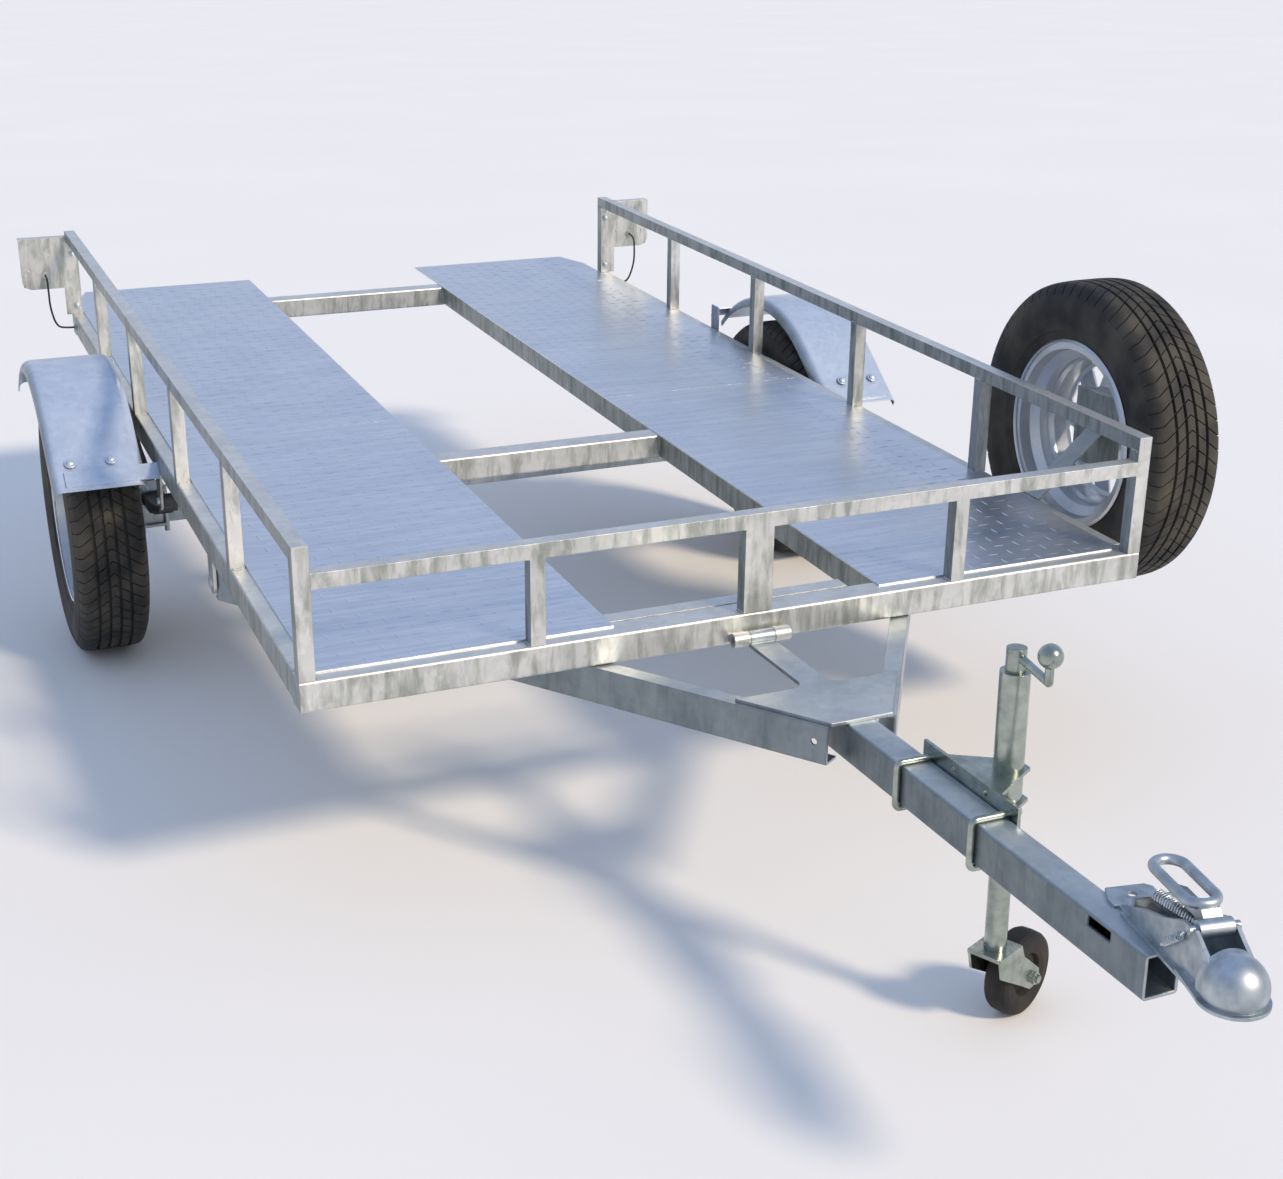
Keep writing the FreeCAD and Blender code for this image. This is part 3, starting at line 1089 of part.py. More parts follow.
def standing():
    """Placements of the bed's pieces and of the A-frame's pieces on level ground."""
    pivot = Vector(0, mm("pivot_y"), mm("pivot_z"))
    lift = FreeCAD.Rotation(Vector(1, 0, 0), -mm("rise"))
    raised = FreeCAD.Placement(pivot - lift.multVec(pivot), lift)
    road = Vector(0, mm("axle_y"), mm("axle_z"))
    behind = mm("trail") * math.cos(math.radians(mm("jockey_turn")))
    small = raised.multVec(Vector(0, mm("jockey_y") + behind, mm("jockey_axle_z")))
    run = road - small
    slope = math.degrees(math.atan2(run.z, run.y))
    slope -= math.degrees(math.asin((mm("tyre_r") - mm("jockey_wheel_r")) / run.Length))
    level = FreeCAD.Rotation(Vector(1, 0, 0), -slope)
    bed = FreeCAD.Placement(Vector(0, 0, mm("tyre_r")) - level.multVec(road), level)
    bed.Base.x = 0
    return bed, raised


bed_place, raised = standing()
for piece in BED:
    piece.Placement = bed_place
for piece in FRAME:
    piece.Placement = bed_place * raised
doc.recompute()
bounds = FreeCAD.BoundBox()
for piece in BED + FRAME:
    bounds.add(piece.Shape.BoundBox)
shift = Vector(-bounds.Center.x, -bounds.Center.y, -bounds.ZMin)
for piece in BED + FRAME:
    piece.Placement = FreeCAD.Placement(shift, FreeCAD.Rotation()) * piece.Placement
doc.recompute()

faults = [item.Name for item in doc.Objects if {"Invalid", "Error"} & set(item.State)]
if faults:
    raise RuntimeError(f"these objects failed: {faults}")
os.makedirs("parts", exist_ok=True)
for piece in BED + FRAME:
    if piece.Shape.isNull() or not piece.Shape.isValid():
        raise RuntimeError(f"{piece.Label} has no valid shape")
    piece.Shape.exportStep(f"parts/{piece.Label}.step")
print(len(LABELS), "pieces,", "shift", [round(value, 2) for value in shift], bounds)
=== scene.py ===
"""Looks of the tilt-bed golf cart trailer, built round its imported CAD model.

Everything is in metres in the model's own frame: +y runs from the coupling to the tail, +x is
the side with the spare wheel. Pieces of the bed are worked out on the bed's datum, level and
with its front face at y = 0, and turned with the matrix BED; pieces of the A-frame the same way
with ARM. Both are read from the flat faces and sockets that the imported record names.
"""
import json
import math

import bpy
import numpy as np
from mathutils import Matrix, Vector


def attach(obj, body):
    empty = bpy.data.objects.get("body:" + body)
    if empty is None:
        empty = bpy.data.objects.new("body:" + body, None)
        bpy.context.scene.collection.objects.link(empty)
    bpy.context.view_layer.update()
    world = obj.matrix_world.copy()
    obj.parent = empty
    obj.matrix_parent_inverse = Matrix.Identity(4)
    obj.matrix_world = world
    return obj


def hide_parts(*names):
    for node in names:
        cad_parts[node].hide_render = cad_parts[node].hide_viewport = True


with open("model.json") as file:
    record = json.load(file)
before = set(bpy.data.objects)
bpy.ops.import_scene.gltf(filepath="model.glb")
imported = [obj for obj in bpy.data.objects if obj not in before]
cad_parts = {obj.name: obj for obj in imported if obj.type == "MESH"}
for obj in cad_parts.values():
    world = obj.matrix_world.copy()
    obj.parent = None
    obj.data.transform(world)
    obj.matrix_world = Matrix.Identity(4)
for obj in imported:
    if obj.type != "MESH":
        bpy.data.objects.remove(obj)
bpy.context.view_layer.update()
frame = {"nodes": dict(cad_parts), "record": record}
nodes = frame["nodes"]


# The bed's and the A-frame's datums. Each is turned about x from level, by the angle that the
# record's face or socket shows, and its origin follows from where that feature is on the datum.

def datum(mount, mark, up):
    """Matrix from a datum to the model: the mount's axis is up (+1) or down (-1) on the datum."""
    found = [m for m in frame["record"]["mounts"] if m["name"] == mount][0]
    place = found["frame"]["pos_m"] if "frame" in found else found["pos_m"]
    axis = found["frame"]["axis"] if "frame" in found else found["axis"]
    turn = Matrix.Rotation(math.atan2(-axis[1] * up, axis[2] * up), 4, "X")
    return Matrix.Translation(Vector(place) - turn @ Vector(mark)) @ turn


BED = datum("deck_left", (-0.4825, 0.7, 0.053), 1)
ARM = datum("ball_socket", (0, -1.163, 0.00017), -1)


# Camera: the photographer stands at the left front corner, a little above the rails, and looks
# across the bed. Its place and turn come from a fit to the bed's corners and post bays.

LENS_PX = 1871.889
PHOTO = (1283, 1179)
CENTRE_PX = (640.98, 588.96)
EYE = Vector((-1.2813, -2.4916, 1.2002))
RIGHT = Vector((0.91973, -0.39240, 0.01086))
DOWN = Vector((-0.13582, -0.34404, -0.92908))
AHEAD = Vector((0.36831, 0.85303, -0.36972))

camera_data = bpy.data.cameras.new("Camera")
camera_data.sensor_width = 36.0
camera_data.lens = LENS_PX * 36.0 / PHOTO[0]
camera_data.shift_x = (PHOTO[0] / 2 - CENTRE_PX[0]) / PHOTO[0]
camera_data.shift_y = (CENTRE_PX[1] - PHOTO[1] / 2) / PHOTO[0]
camera_data.clip_start = 0.05
camera = bpy.data.objects.new("Camera", camera_data)
turn = Matrix((RIGHT, -DOWN, -AHEAD)).transposed().to_4x4()
camera.matrix_world = BED @ Matrix.Translation(EYE) @ turn
bpy.context.scene.collection.objects.link(camera)
bpy.context.scene.camera = camera


# Floor and light: a plain pale floor under a soft blue sky, with a broad warm sun from the front
# right, as open shade on a sunny day gives it. The floor isn't part of the trailer.

def rgb(code):
    """A hex sRGB colour as linear red, green, blue and alpha."""
    parts = [int(code[i:i + 2], 16) / 255 for i in (0, 2, 4)]
    return [p / 12.92 if p <= 0.04045 else ((p + 0.055) / 1.055) ** 2.4 for p in parts] + [1.0]


def add(tree, kind, values=None, **settings):
    """A new node: settings are its own properties, values its inputs, set or linked."""
    made = tree.nodes.new("ShaderNode" + kind)
    for key, value in settings.items():
        setattr(made, key, value)
    for key, value in (values or {}).items():
        if isinstance(value, bpy.types.NodeSocket):
            tree.links.new(value, made.inputs[key])
        else:
            made.inputs[key].default_value = value
    return made


def ramp(tree, factor, stops):
    """Colours between the stops, each a place from 0 to 1 and a hex colour."""
    made = add(tree, "ValToRGB", {"Fac": factor})
    band = made.color_ramp
    while len(band.elements) < len(stops):
        band.elements.new(0.5)
    for element, (place, code) in zip(band.elements, stops):
        element.position = place
        element.color = rgb(code)
    return made.outputs["Color"]


def between(tree, factor, low, high):
    """A number that goes from low to high as the factor goes from 0 to 1."""
    made = add(tree, "MapRange", {"Value": factor, "To Min": low, "To Max": high})
    return made.outputs["Result"]


def new_material(name):
    """A material with a Principled shader: returns the material, its tree and the shader."""
    material = bpy.data.materials.new(name)
    material.use_nodes = True
    tree = material.node_tree
    return material, tree, tree.nodes["Principled BSDF"]


SKY = "a9c0ea"
LOW_SKY = "c6d4ee"
HORIZON = "f6f6f4"
FLOOR = "f1eee8"
FLOOR_LIGHT = "f3f1ec"
FLOOR_SIZE = 2400.0
SKY_STRENGTH = 0.9
SUN = "ffecd2"
SUN_STRENGTH, SUN_SPREAD = 2.7, 9
SUN_WAY = Vector((-0.38, 0.70, -0.60))

world = bpy.data.worlds.new("Sky")
bpy.context.scene.world = world
world.use_nodes = True
sky = world.node_tree
heading = add(sky, "TexCoord")
split = add(sky, "SeparateXYZ", {"Vector": heading.outputs["Generated"]})
sky_colour = ramp(sky, split.outputs["Z"], [(0.0, HORIZON), (0.05, HORIZON), (0.28, LOW_SKY),
                                            (0.9, SKY)])
sky.links.new(sky_colour, sky.nodes["Background"].inputs["Color"])
sky.nodes["Background"].inputs["Strength"].default_value = SKY_STRENGTH

floor_mesh = bpy.data.meshes.new("Floor")
reach = FLOOR_SIZE / 2
floor_mesh.from_pydata([(-reach, -reach, 0), (reach, -reach, 0), (reach, reach, 0),
                        (-reach, reach, 0)], [], [(0, 1, 2, 3)])
floor = bpy.data.objects.new("Floor", floor_mesh)
bpy.context.scene.collection.objects.link(floor)
floor_paint, tree, shader = new_material("Floor paint")
spot = add(tree, "TexCoord").outputs["Object"]
cloud = add(tree, "TexNoise", {"Vector": spot, "Scale": 0.6, "Detail": 3.0}).outputs["Fac"]
tree.links.new(ramp(tree, cloud, [(0.3, FLOOR), (0.7, FLOOR_LIGHT)]), shader.inputs["Base Color"])
shader.inputs["Roughness"].default_value = 0.9
floor_mesh.materials.append(floor_paint)

key_data = bpy.data.lights.new("Key", "SUN")
key_data.energy = SUN_STRENGTH
key_data.angle = math.radians(SUN_SPREAD)
key_data.color = rgb(SUN)[:3]
key = bpy.data.objects.new("Key", key_data)
key.rotation_euler = SUN_WAY.to_track_quat("-Z", "Y").to_euler()
bpy.context.scene.collection.objects.link(key)

bpy.context.scene.view_settings.view_transform = "Standard"


# Hot-dip galvanised steel: bed, fences, carrier and A-frame. Zinc on welded mild steel, bright
# with faint spangle, and darker runs where it drained down the upright faces. The A-frame was
# dipped by itself and came out duller. Faces turned to -x get painted shade: their colour is
# darkened as if they lay in shade from the sun.

BED_STEEL = [
    "front_rail", "rear_rail", "side_rail_left", "side_rail_right", "deck_beam_left",
    "deck_beam_right", "mid_rail", "front_filler", "side_fence_left", "side_fence_right",
    "front_fence", "pivot_brackets", "latch_sleeves", "spring_hangers", "spare_carrier",
    "lamp_bracket_left", "lamp_bracket_right"]
FRAME_STEEL = ["frame_leg_left", "frame_leg_right", "frame_plate", "drawbar", "axle"]


def multiply(tree, share, first, second):
    """The first colour darkened by the second, by that share."""
    made = add(tree, "Mix", data_type="RGBA", blend_type="MULTIPLY")
    made.inputs["Factor"].default_value = share
    tree.links.new(first, made.inputs[6])
    tree.links.new(second, made.inputs[7])
    return made.outputs[2]


def soft_edges(tree, shader, size, height, strength, distance):
    """Fine relief on top of edges that are rounded to that size in metres."""
    edge = add(tree, "Bevel", {"Radius": size}, samples=4)
    bump = add(tree, "Bump", {"Height": height, "Normal": edge.outputs["Normal"],
                              "Strength": strength, "Distance": distance})
    tree.links.new(bump.outputs["Normal"], shader.inputs["Normal"])


def zinc(name, light, mid, dark, rough=0.42, run=1.0, metal=0.8, edge=0.0014):
    """Zinc coating: cloudy patches 30 to 80 mm across, drained runs and a faint spangle."""
    material, tree, shader = new_material(name)
    heading = add(tree, "TexCoord")
    spot = heading.outputs["Object"]
    facing = add(tree, "SeparateXYZ", {"Vector": heading.outputs["Normal"]})
    # Painted shade: a mask of the faces turned to -x, whose colour is darkened below.
    left = add(tree, "MapRange", {"Value": facing.outputs["X"], "From Min": -0.9, "From Max": -0.3})
    upright = add(tree, "MapRange", {"Value": facing.outputs["Z"], "From Min": 0.3, "From Max": 0.8})
    cells = add(tree, "TexVoronoi", {"Vector": spot, "Scale": 80.0})
    grey = add(tree, "SeparateColor", {"Color": cells.outputs["Color"]}).outputs["Red"]
    cloud = add(tree, "TexNoise", {"Vector": spot, "Scale": 11.0, "Detail": 6.0,
                                   "Roughness": 0.62}).outputs["Fac"]
    tall = add(tree, "Mapping", {"Vector": spot, "Scale": (44.0, 44.0, 9.0)})
    runs = add(tree, "TexNoise", {"Vector": tall.outputs["Vector"], "Scale": 1.0, "Detail": 5.0,
                                  "Roughness": 0.6, "Distortion": 0.5}).outputs["Fac"]
    base = ramp(tree, cloud, [(0.36, mid), (0.6, light)])
    streak = add(tree, "Math", {0: runs, 1: between(tree, upright.outputs["Result"], 0.0, 0.2)},
                 operation="ADD").outputs["Value"]
    drained = ramp(tree, streak, [(0.36, dark), (0.55, "ffffff")])
    # Painted shade: faces turned to -x are darkened, standing in for the sun's shade on them.
    painted_side_shade = ramp(tree, left.outputs["Result"], [(0.0, "a6adb0"), (1.0, "ffffff")])
    coat = multiply(tree, 0.9, multiply(tree, 0.6 * run, base, drained), painted_side_shade)
    fleck = ramp(tree, grey, [(0.0, "dedede"), (1.0, "ffffff")])
    tree.links.new(multiply(tree, 0.35, coat, fleck), shader.inputs["Base Color"])
    shader.inputs["Metallic"].default_value = metal
    tree.links.new(between(tree, cloud, rough + 0.14, rough - 0.1), shader.inputs["Roughness"])
    grain = add(tree, "TexNoise", {"Vector": spot, "Scale": 190.0, "Detail": 4.0}).outputs["Fac"]
    soft_edges(tree, shader, edge, grain, 0.16, 0.0006)
    return material


def dress(material, names):
    """Gives CAD nodes their material in every slot that they have."""
    for name in names:
        mesh = nodes[name].data
        mesh.materials.clear()
        mesh.materials.append(material)


galvanised = zinc("Galvanised steel", "e2e2dd", "d2d4d0", "8f968c")
dress(galvanised, BED_STEEL)
dress(zinc("Frame steel", "bcc4c8", "aab3b8", "8f989a", rough=0.38, run=0.5, edge=0.003), FRAME_STEEL)


# Weld beads: short fillets of weld at the feet and heads of the posts, laid by hand before the
# bed was dipped, so each is a row of small ripples under the same zinc.

POST_XS = (-0.7375, -0.376, 0.0, 0.376, 0.7375)
POST_HALF = (0.0125, 0.0125, 0.025, 0.0125, 0.0125)
FENCE_TUBE = 0.025
FENCE_IN, HALF_WIDTH, BED_LENGTH = 0.725, 0.75, 2.5
SIDE_POSTS = [0.495 * k for k in range(6)]
RAIL_TOP, FRONT_TOP, SIDE_TOP = 0.05, 0.194, 0.237
BEAD_R, BEAD_RIPPLE, BEAD_INSET = 0.0032, 0.0026, 0.002


def piece(name, corners, faces, body, slot, material, place, sharp=32):
    """A mesh piece: corners in metres on the datum that place turns into the model's frame."""
    turned = np.asarray(corners) @ np.array(place.to_3x3()).T + np.array(place.translation)
    mesh = bpy.data.meshes.new(name)
    mesh.from_pydata(turned.tolist(), [], faces)
    mesh.materials.append(material)
    mesh.shade_smooth()
    mesh.set_sharp_from_angle(angle=math.radians(sharp))
    made = bpy.data.objects.new(name, mesh)
    bpy.context.scene.collection.objects.link(made)
    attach(made, body)
    return made


def joined(parts):
    """Several (corners, faces) pairs as one."""
    corners, faces, base = [], [], 0
    for own_corners, own_faces in parts:
        corners.append(np.asarray(own_corners))
        faces += [tuple(k + base for k in face) for face in own_faces]
        base += len(own_corners)
    return np.concatenate(corners), faces


def swept(path, radii, sides=8):
    """A round skin along a path: circle of radius r(i) across the path's direction at point i."""
    path = np.asarray(path, dtype=float)
    radii = np.broadcast_to(radii, len(path))
    way = np.gradient(path, axis=0)
    way /= np.linalg.norm(way, axis=1, keepdims=True)
    start = np.array((0.0, 0.0, 1.0)) if abs(way[0][2]) < 0.8 else np.array((1.0, 0.0, 0.0))
    across = [start - way[0] * (start @ way[0])]
    for step in way[1:]:
        across.append(across[-1] - step * (across[-1] @ step))
    across = np.array(across)
    across /= np.linalg.norm(across, axis=1, keepdims=True)
    other = np.cross(way, across)
    angle = np.linspace(0, 2 * math.pi, sides, endpoint=False)
    ring = (across[:, None] * np.cos(angle)[None, :, None]
            + other[:, None] * np.sin(angle)[None, :, None])
    corners = path[:, None] + ring * radii[:, None, None]
    count = len(path)
    faces = [(i * sides + k, i * sides + (k + 1) % sides, (i + 1) * sides + (k + 1) % sides,
              (i + 1) * sides + k) for i in range(count - 1) for k in range(sides)]
    faces += [tuple(range(sides))[::-1], tuple((count - 1) * sides + k for k in range(sides))]
    return corners.reshape(-1, 3), faces


def bead(start, end, size=BEAD_R):
    """A weld bead: radius size (0.85 + 0.15 sin(2 pi s / 2.6 mm)), tapered over its last 3 mm."""
    start, end = np.array(start, dtype=float), np.array(end, dtype=float)
    length = np.linalg.norm(end - start)
    s = np.linspace(0, length, max(8, int(length / 0.0008)))
    taper = np.clip(np.minimum(s, length - s) / 0.003, 0.25, 1.0) ** 0.5
    radii = size * (0.85 + 0.15 * np.sin(2 * math.pi * s / BEAD_RIPPLE)) * taper
    path = start + (end - start) * (s / length)[:, None]
    path[:, 2] += 0.0003 * np.sin(s * 900)
    return swept(path, radii)


beads = []
for x, half in zip(POST_XS, POST_HALF):
    for z in (RAIL_TOP, FRONT_TOP):
        for edge in (x - half, x + half):
            inside_bed = abs(edge) < HALF_WIDTH - BEAD_INSET
            if inside_bed:
                beads.append(bead((edge, BEAD_INSET, z), (edge, FENCE_TUBE - BEAD_INSET, z)))
        beads.append(bead((x - half + BEAD_INSET, FENCE_TUBE, z),
                          (x + half - BEAD_INSET, FENCE_TUBE, z)))
piece("weld_beads_front", *joined(beads), "bed", "galvanised", galvanised, BED)

for side, sign in (("left", -1), ("right", 1)):
    beads = []
    for y in SIDE_POSTS:
        for z in (RAIL_TOP, SIDE_TOP):
            for edge in (y, y + FENCE_TUBE):
                inside_bed = BEAD_INSET < edge < BED_LENGTH - BEAD_INSET
                if inside_bed:
                    beads.append(bead((sign * (FENCE_IN + BEAD_INSET), edge, z),
                                      (sign * (HALF_WIDTH - BEAD_INSET), edge, z)))
            beads.append(bead((sign * FENCE_IN, y + BEAD_INSET, z),
                              (sign * FENCE_IN, y + FENCE_TUBE - BEAD_INSET, z)))
    piece("weld_beads_" + side, *joined(beads), "bed", "galvanised", galvanised, BED)


# Runways: 3 mm tread plate, galvanised. The rolled sheet is slightly wavy, so posts mirrored in
# it stretch to long streaks, and small raised lozenges stand on it in two directions by turns.

RUNWAYS = {"left_front": (-1, 0.027, 1.2447), "left_rear": (-1, 1.2453, 2.715),
           "right_front": (1, 0.027, 1.2447), "right_rear": (1, 1.2453, 2.715)}
RUNWAY_IN, RUNWAY_OUT = 0.24, 0.722
DECK_TOP = 0.053
LOZENGE = (0.0125, 0.003, 0.0011)
LOZENGE_PITCH = 0.0345
SHEET_MARGIN = 0.018
TAIL_START, TAIL_IN, TAIL_OUT = 2.6, 0.29, 0.67

plate_steel, tree, shader = new_material("Tread plate")
spot = add(tree, "TexCoord").outputs["Object"]
cloud = add(tree, "TexNoise", {"Vector": spot, "Scale": 5.0, "Detail": 5.0}).outputs["Fac"]
scratch_way = add(tree, "Mapping", {"Vector": spot, "Scale": (1.0, 14.0, 1.0)})
scuff = add(tree, "TexNoise", {"Vector": scratch_way.outputs["Vector"], "Scale": 7.0,
                               "Detail": 7.0, "Roughness": 0.7}).outputs["Fac"]
tone = ramp(tree, cloud, [(0.35, "d4dbe5"), (0.65, "dde2ea")])
worn = ramp(tree, scuff, [(0.42, "d6d9dd"), (0.6, "ffffff")])
tree.links.new(multiply(tree, 0.4, tone, worn), shader.inputs["Base Color"])
shader.inputs["Metallic"].default_value = 0.9
tree.links.new(between(tree, scuff, 0.4, 0.24), shader.inputs["Roughness"])
wave_way = add(tree, "Mapping", {"Vector": spot, "Scale": (8.0, 26.0, 1.0)})
wave = add(tree, "TexNoise", {"Vector": wave_way.outputs["Vector"], "Scale": 1.0,
                              "Detail": 3.0}).outputs["Fac"]
soft_edges(tree, shader, 0.001, wave, 0.25, 0.0016)
dress(plate_steel, ["runway_" + name for name in RUNWAYS])


def lozenges(side, start, end):
    """Raised lozenges: height h (1 - t^2)^0.8 over the ellipse x = a t cos q, y = b t sin q."""
    length, width, height = LOZENGE
    around = np.linspace(0, 2 * math.pi, 10, endpoint=False)
    rings = np.array([1.0, 0.8, 0.45])
    flat = np.stack([np.cos(around), np.sin(around)], axis=-1)
    one = np.concatenate([np.c_[flat * ring, np.full(10, height * (1 - ring ** 2) ** 0.8)]
                          for ring in rings])
    own = [(10 * r + k, 10 * r + (k + 1) % 10, 10 * r + 10 + (k + 1) % 10, 10 * r + 10 + k)
           for r in (0, 1) for k in range(10)] + [tuple(20 + k for k in range(10))]
    corners, faces = [], []
    rows = int((end - start - 0.02) / LOZENGE_PITCH)
    columns = int((RUNWAY_OUT - RUNWAY_IN - 0.014) / LOZENGE_PITCH)
    for row in range(rows):
        for column in range(columns):
            x = RUNWAY_IN + SHEET_MARGIN + LOZENGE_PITCH * column
            y = start + SHEET_MARGIN + LOZENGE_PITCH * row
            cut_corner = y > TAIL_START and (x < TAIL_IN or x > TAIL_OUT)
            if cut_corner:
                continue
            along = (row + column) % 2 == 0
            size = (length, width, 1) if along else (width, length, 1)
            base = len(corners) * 30
            faces += [tuple(k + base for k in face) for face in own]
            corners.append(one * size + (side * x, y, DECK_TOP))
    return np.concatenate(corners), faces


for name, (side, start, end) in RUNWAYS.items():
    piece("tread_" + name, *lozenges(side, start, end), "bed", "tread_plate", plate_steel, BED)


# Mudguards: steel sheet rolled over each wheel and galvanised by itself. Its coat is smoother and
# brighter than the tubes', so it mirrors more sky. Flat bars carry each guard and are bolted on.

guard_sheet = zinc("Guard sheet", "d3dde9", "c3cfdd", "b9c1c6", rough=0.36, run=0.25, metal=0.6)
dress(guard_sheet, ["mudguard_left", "mudguard_right"])

# The bolts through bar and sheet have low domed heads on a washer. Their places follow the
# guard's own section: round the axle to the front edge, then straight down the flat.

AXLE = Vector((0, 1.541, -0.186))
GUARD_R = 0.352
BAR_FACE = 0.0042
FRONT_BOLTS = (126.5, 0.11, (0.918, 0.838))
REAR_BOLTS = (51.0, 0.0, (0.91, 0.83))


def turned_face(steps, profile, at, axis):
    """A profile of (out, up) turned about an axis: the point (out cos q, out sin q, up)."""
    angle = np.linspace(0, 2 * math.pi, steps, endpoint=False)
    out, up = np.array(profile).T
    local = np.stack([np.outer(out, np.cos(angle)), np.outer(out, np.sin(angle)),
                      np.outer(up, np.ones(steps))], axis=-1).reshape(-1, 3)
    way = Vector(axis).to_track_quat("Z", "Y").to_matrix()
    corners = local @ np.array(way).T + np.array(at)
    rows = len(profile)
    faces = [(r * steps + k, r * steps + (k + 1) % steps, (r + 1) * steps + (k + 1) % steps,
              (r + 1) * steps + k) for r in range(rows - 1) for k in range(steps)]
    return corners, faces


def dome_bolt(at, axis, head=0.0085):
    """A domed head with a washer under it, seated at a point along an axis."""
    washer = [(head * 1.35, 0), (head * 1.35, 0.0012), (head * 1.3, 0.0016), (head, 0.0016)]
    dome = [(head * math.cos(q), 0.0016 + 0.55 * head * math.sin(q))
            for q in np.linspace(0.12, math.pi / 2, 6)]
    return turned_face(20, washer + dome, at, axis)


for side, sign in (("left", -1), ("right", 1)):
    heads = []
    for degrees, run, xs in (FRONT_BOLTS, REAR_BOLTS):
        a = math.radians(degrees)
        outward = Vector((0, math.cos(a), math.sin(a)))
        down = Vector((0, -math.sin(a), math.cos(a)))
        middle = AXLE + outward * (GUARD_R + BAR_FACE) + down * run
        heads += [dome_bolt((sign * x, middle.y, middle.z), outward) for x in xs]
    piece(f"guard_bolts_{side}", *joined(heads), "bed", "galvanised", guard_sheet, BED)


# Plated fittings: the jockey wheel's clamp, tubes, fork and crank are steel with a thin electroplated
# zinc skin, smooth and faintly green. The coupling's coat is greyer and rougher.

def plated(name, light, mid, rough=0.3):
    """Electroplated or cast zinc: fine grain with rubbed, brighter patches."""
    material, tree, shader = new_material(name)
    spot = add(tree, "TexCoord").outputs["Object"]
    cloud = add(tree, "TexNoise", {"Vector": spot, "Scale": 45.0, "Detail": 6.0}).outputs["Fac"]
    tree.links.new(ramp(tree, cloud, [(0.3, mid), (0.66, light)]), shader.inputs["Base Color"])
    shader.inputs["Metallic"].default_value = 1.0
    tree.links.new(between(tree, cloud, rough + 0.14, rough - 0.08), shader.inputs["Roughness"])
    grain = add(tree, "TexNoise", {"Vector": spot, "Scale": 700.0, "Detail": 2.0}).outputs["Fac"]
    soft_edges(tree, shader, 0.001, grain, 0.2, 0.0004)
    return material


dress(plated("Plated fittings", "b4bbb1", "8f978e", rough=0.22),
      ["jockey_bracket", "jockey_outer_tube", "jockey_inner_tube", "jockey_nut", "jockey_fork",
       "jockey_crank"])
dress(plated("Coupling casting", "c0c8cc", "9aa4ab", rough=0.42),
      ["coupler_body", "coupler_lever"])

# Coupling springs: one in compression between the cheeks that holds the catch on the ball, and a
# small one outside the left cheek that draws the lever's catch back. Bright drawn wire.

COUPLER_TURN = math.radians(-10.7)
BALL_Y, BAR_TOP = -1.163, -0.02183
spring_wire = plated("Spring wire", "e4e7e9", "aeb4b9", rough=0.24)


def on_coupling(across, back, high):
    """A point of the coupling on the A-frame's datum, from its place relative to the ball."""
    c, s = math.cos(COUPLER_TURN), math.sin(COUPLER_TURN)
    return np.array((across * c - back * s, BALL_Y + across * s + back * c, BAR_TOP + high))


def coil(start, end, radius, turns):
    """Points of a coil round the line from start to end: p(t) + r (u cos 2 pi n t + v sin ...)."""
    start, end = np.array(start), np.array(end)
    way = (end - start) / np.linalg.norm(end - start)
    u = np.cross(way, (0, 0, 1.0))
    u /= np.linalg.norm(u)
    v = np.cross(way, u)
    t = np.linspace(0, 1, int(turns * 20))[:, None]
    angle = 2 * math.pi * turns * t
    return start + (end - start) * t + radius * (u * np.cos(angle) + v * np.sin(angle))


catch = coil(on_coupling(0, 0.182, 0.034), on_coupling(0, 0.086, 0.05), 0.0082, 17)
piece("coupling_spring", *swept(catch, 0.0014, 6), "drawbar_frame", "zinc_plated", spring_wire, ARM)
draw = coil(on_coupling(-0.034, 0.094, 0.027), on_coupling(-0.034, 0.064, 0.052), 0.0045, 9)
hook = [on_coupling(-0.028, 0.108, 0.014), on_coupling(-0.033, 0.103, 0.018),
        on_coupling(-0.035, 0.098, 0.022), on_coupling(-0.034, 0.094, 0.027)]
eye = [on_coupling(-0.034, 0.064, 0.052), on_coupling(-0.035, 0.06, 0.057),
       on_coupling(-0.034, 0.056, 0.062)]
piece("lever_spring", *joined([swept(draw, 0.0011, 6), swept(hook, 0.0028), swept(eye, 0.0014)]),
      "drawbar_frame", "zinc_plated", spring_wire, ARM)


# Hubs: turned from cast iron and bolted behind the rims. The bare iron is a flat grey, darker in
# cloudy patches of dust.

dress(plated("Hub casting", "a8a9a5", "7c7e7b", rough=0.45), ["wheel_hub_left", "wheel_hub_right"])


# Rims: discs and barrels of pressed steel, welded together and held on studs with nuts. The silver
# lacquer is fine metal flake under a clear gloss coat.

RIMS = ["wheel_rim_left", "wheel_rim_right", "spare_rim"]
silver, tree, shader = new_material("Rim lacquer")
spot = add(tree, "TexCoord").outputs["Object"]
flake = add(tree, "TexVoronoi", {"Vector": spot, "Scale": 1400.0})
flake_grey = add(tree, "SeparateColor", {"Color": flake.outputs["Color"]}).outputs["Green"]
tree.links.new(ramp(tree, flake_grey, [(0.0, "b9bec4"), (1.0, "d3d8dd")]),
               shader.inputs["Base Color"])
shader.inputs["Metallic"].default_value = 0.8
shader.inputs["Roughness"].default_value = 0.34
shader.inputs["Coat Weight"].default_value = 0.5
shader.inputs["Coat Roughness"].default_value = 0.08
dress(silver, RIMS)


# Leaf springs: flat leaves of spring steel, clamped to the axle and bolted in the hangers. Their
# black lacquer shines a little where it is clean and is dull and pale where road dust lies.

springs, tree, shader = new_material("Spring lacquer")
spot = add(tree, "TexCoord").outputs["Object"]
dust = add(tree, "TexNoise", {"Vector": spot, "Scale": 30.0, "Detail": 5.0}).outputs["Fac"]
tree.links.new(ramp(tree, dust, [(0.35, "26282a"), (0.75, "565552")]), shader.inputs["Base Color"])
tree.links.new(between(tree, dust, 0.4, 0.8), shader.inputs["Roughness"])
dress(springs, ["leaf_spring_left", "leaf_spring_right"])


# Tyres: moulded rubber on the rims' seats, with grooves round the tread and slanted sipes across
# it. Matt black, a little brown where dust lies.

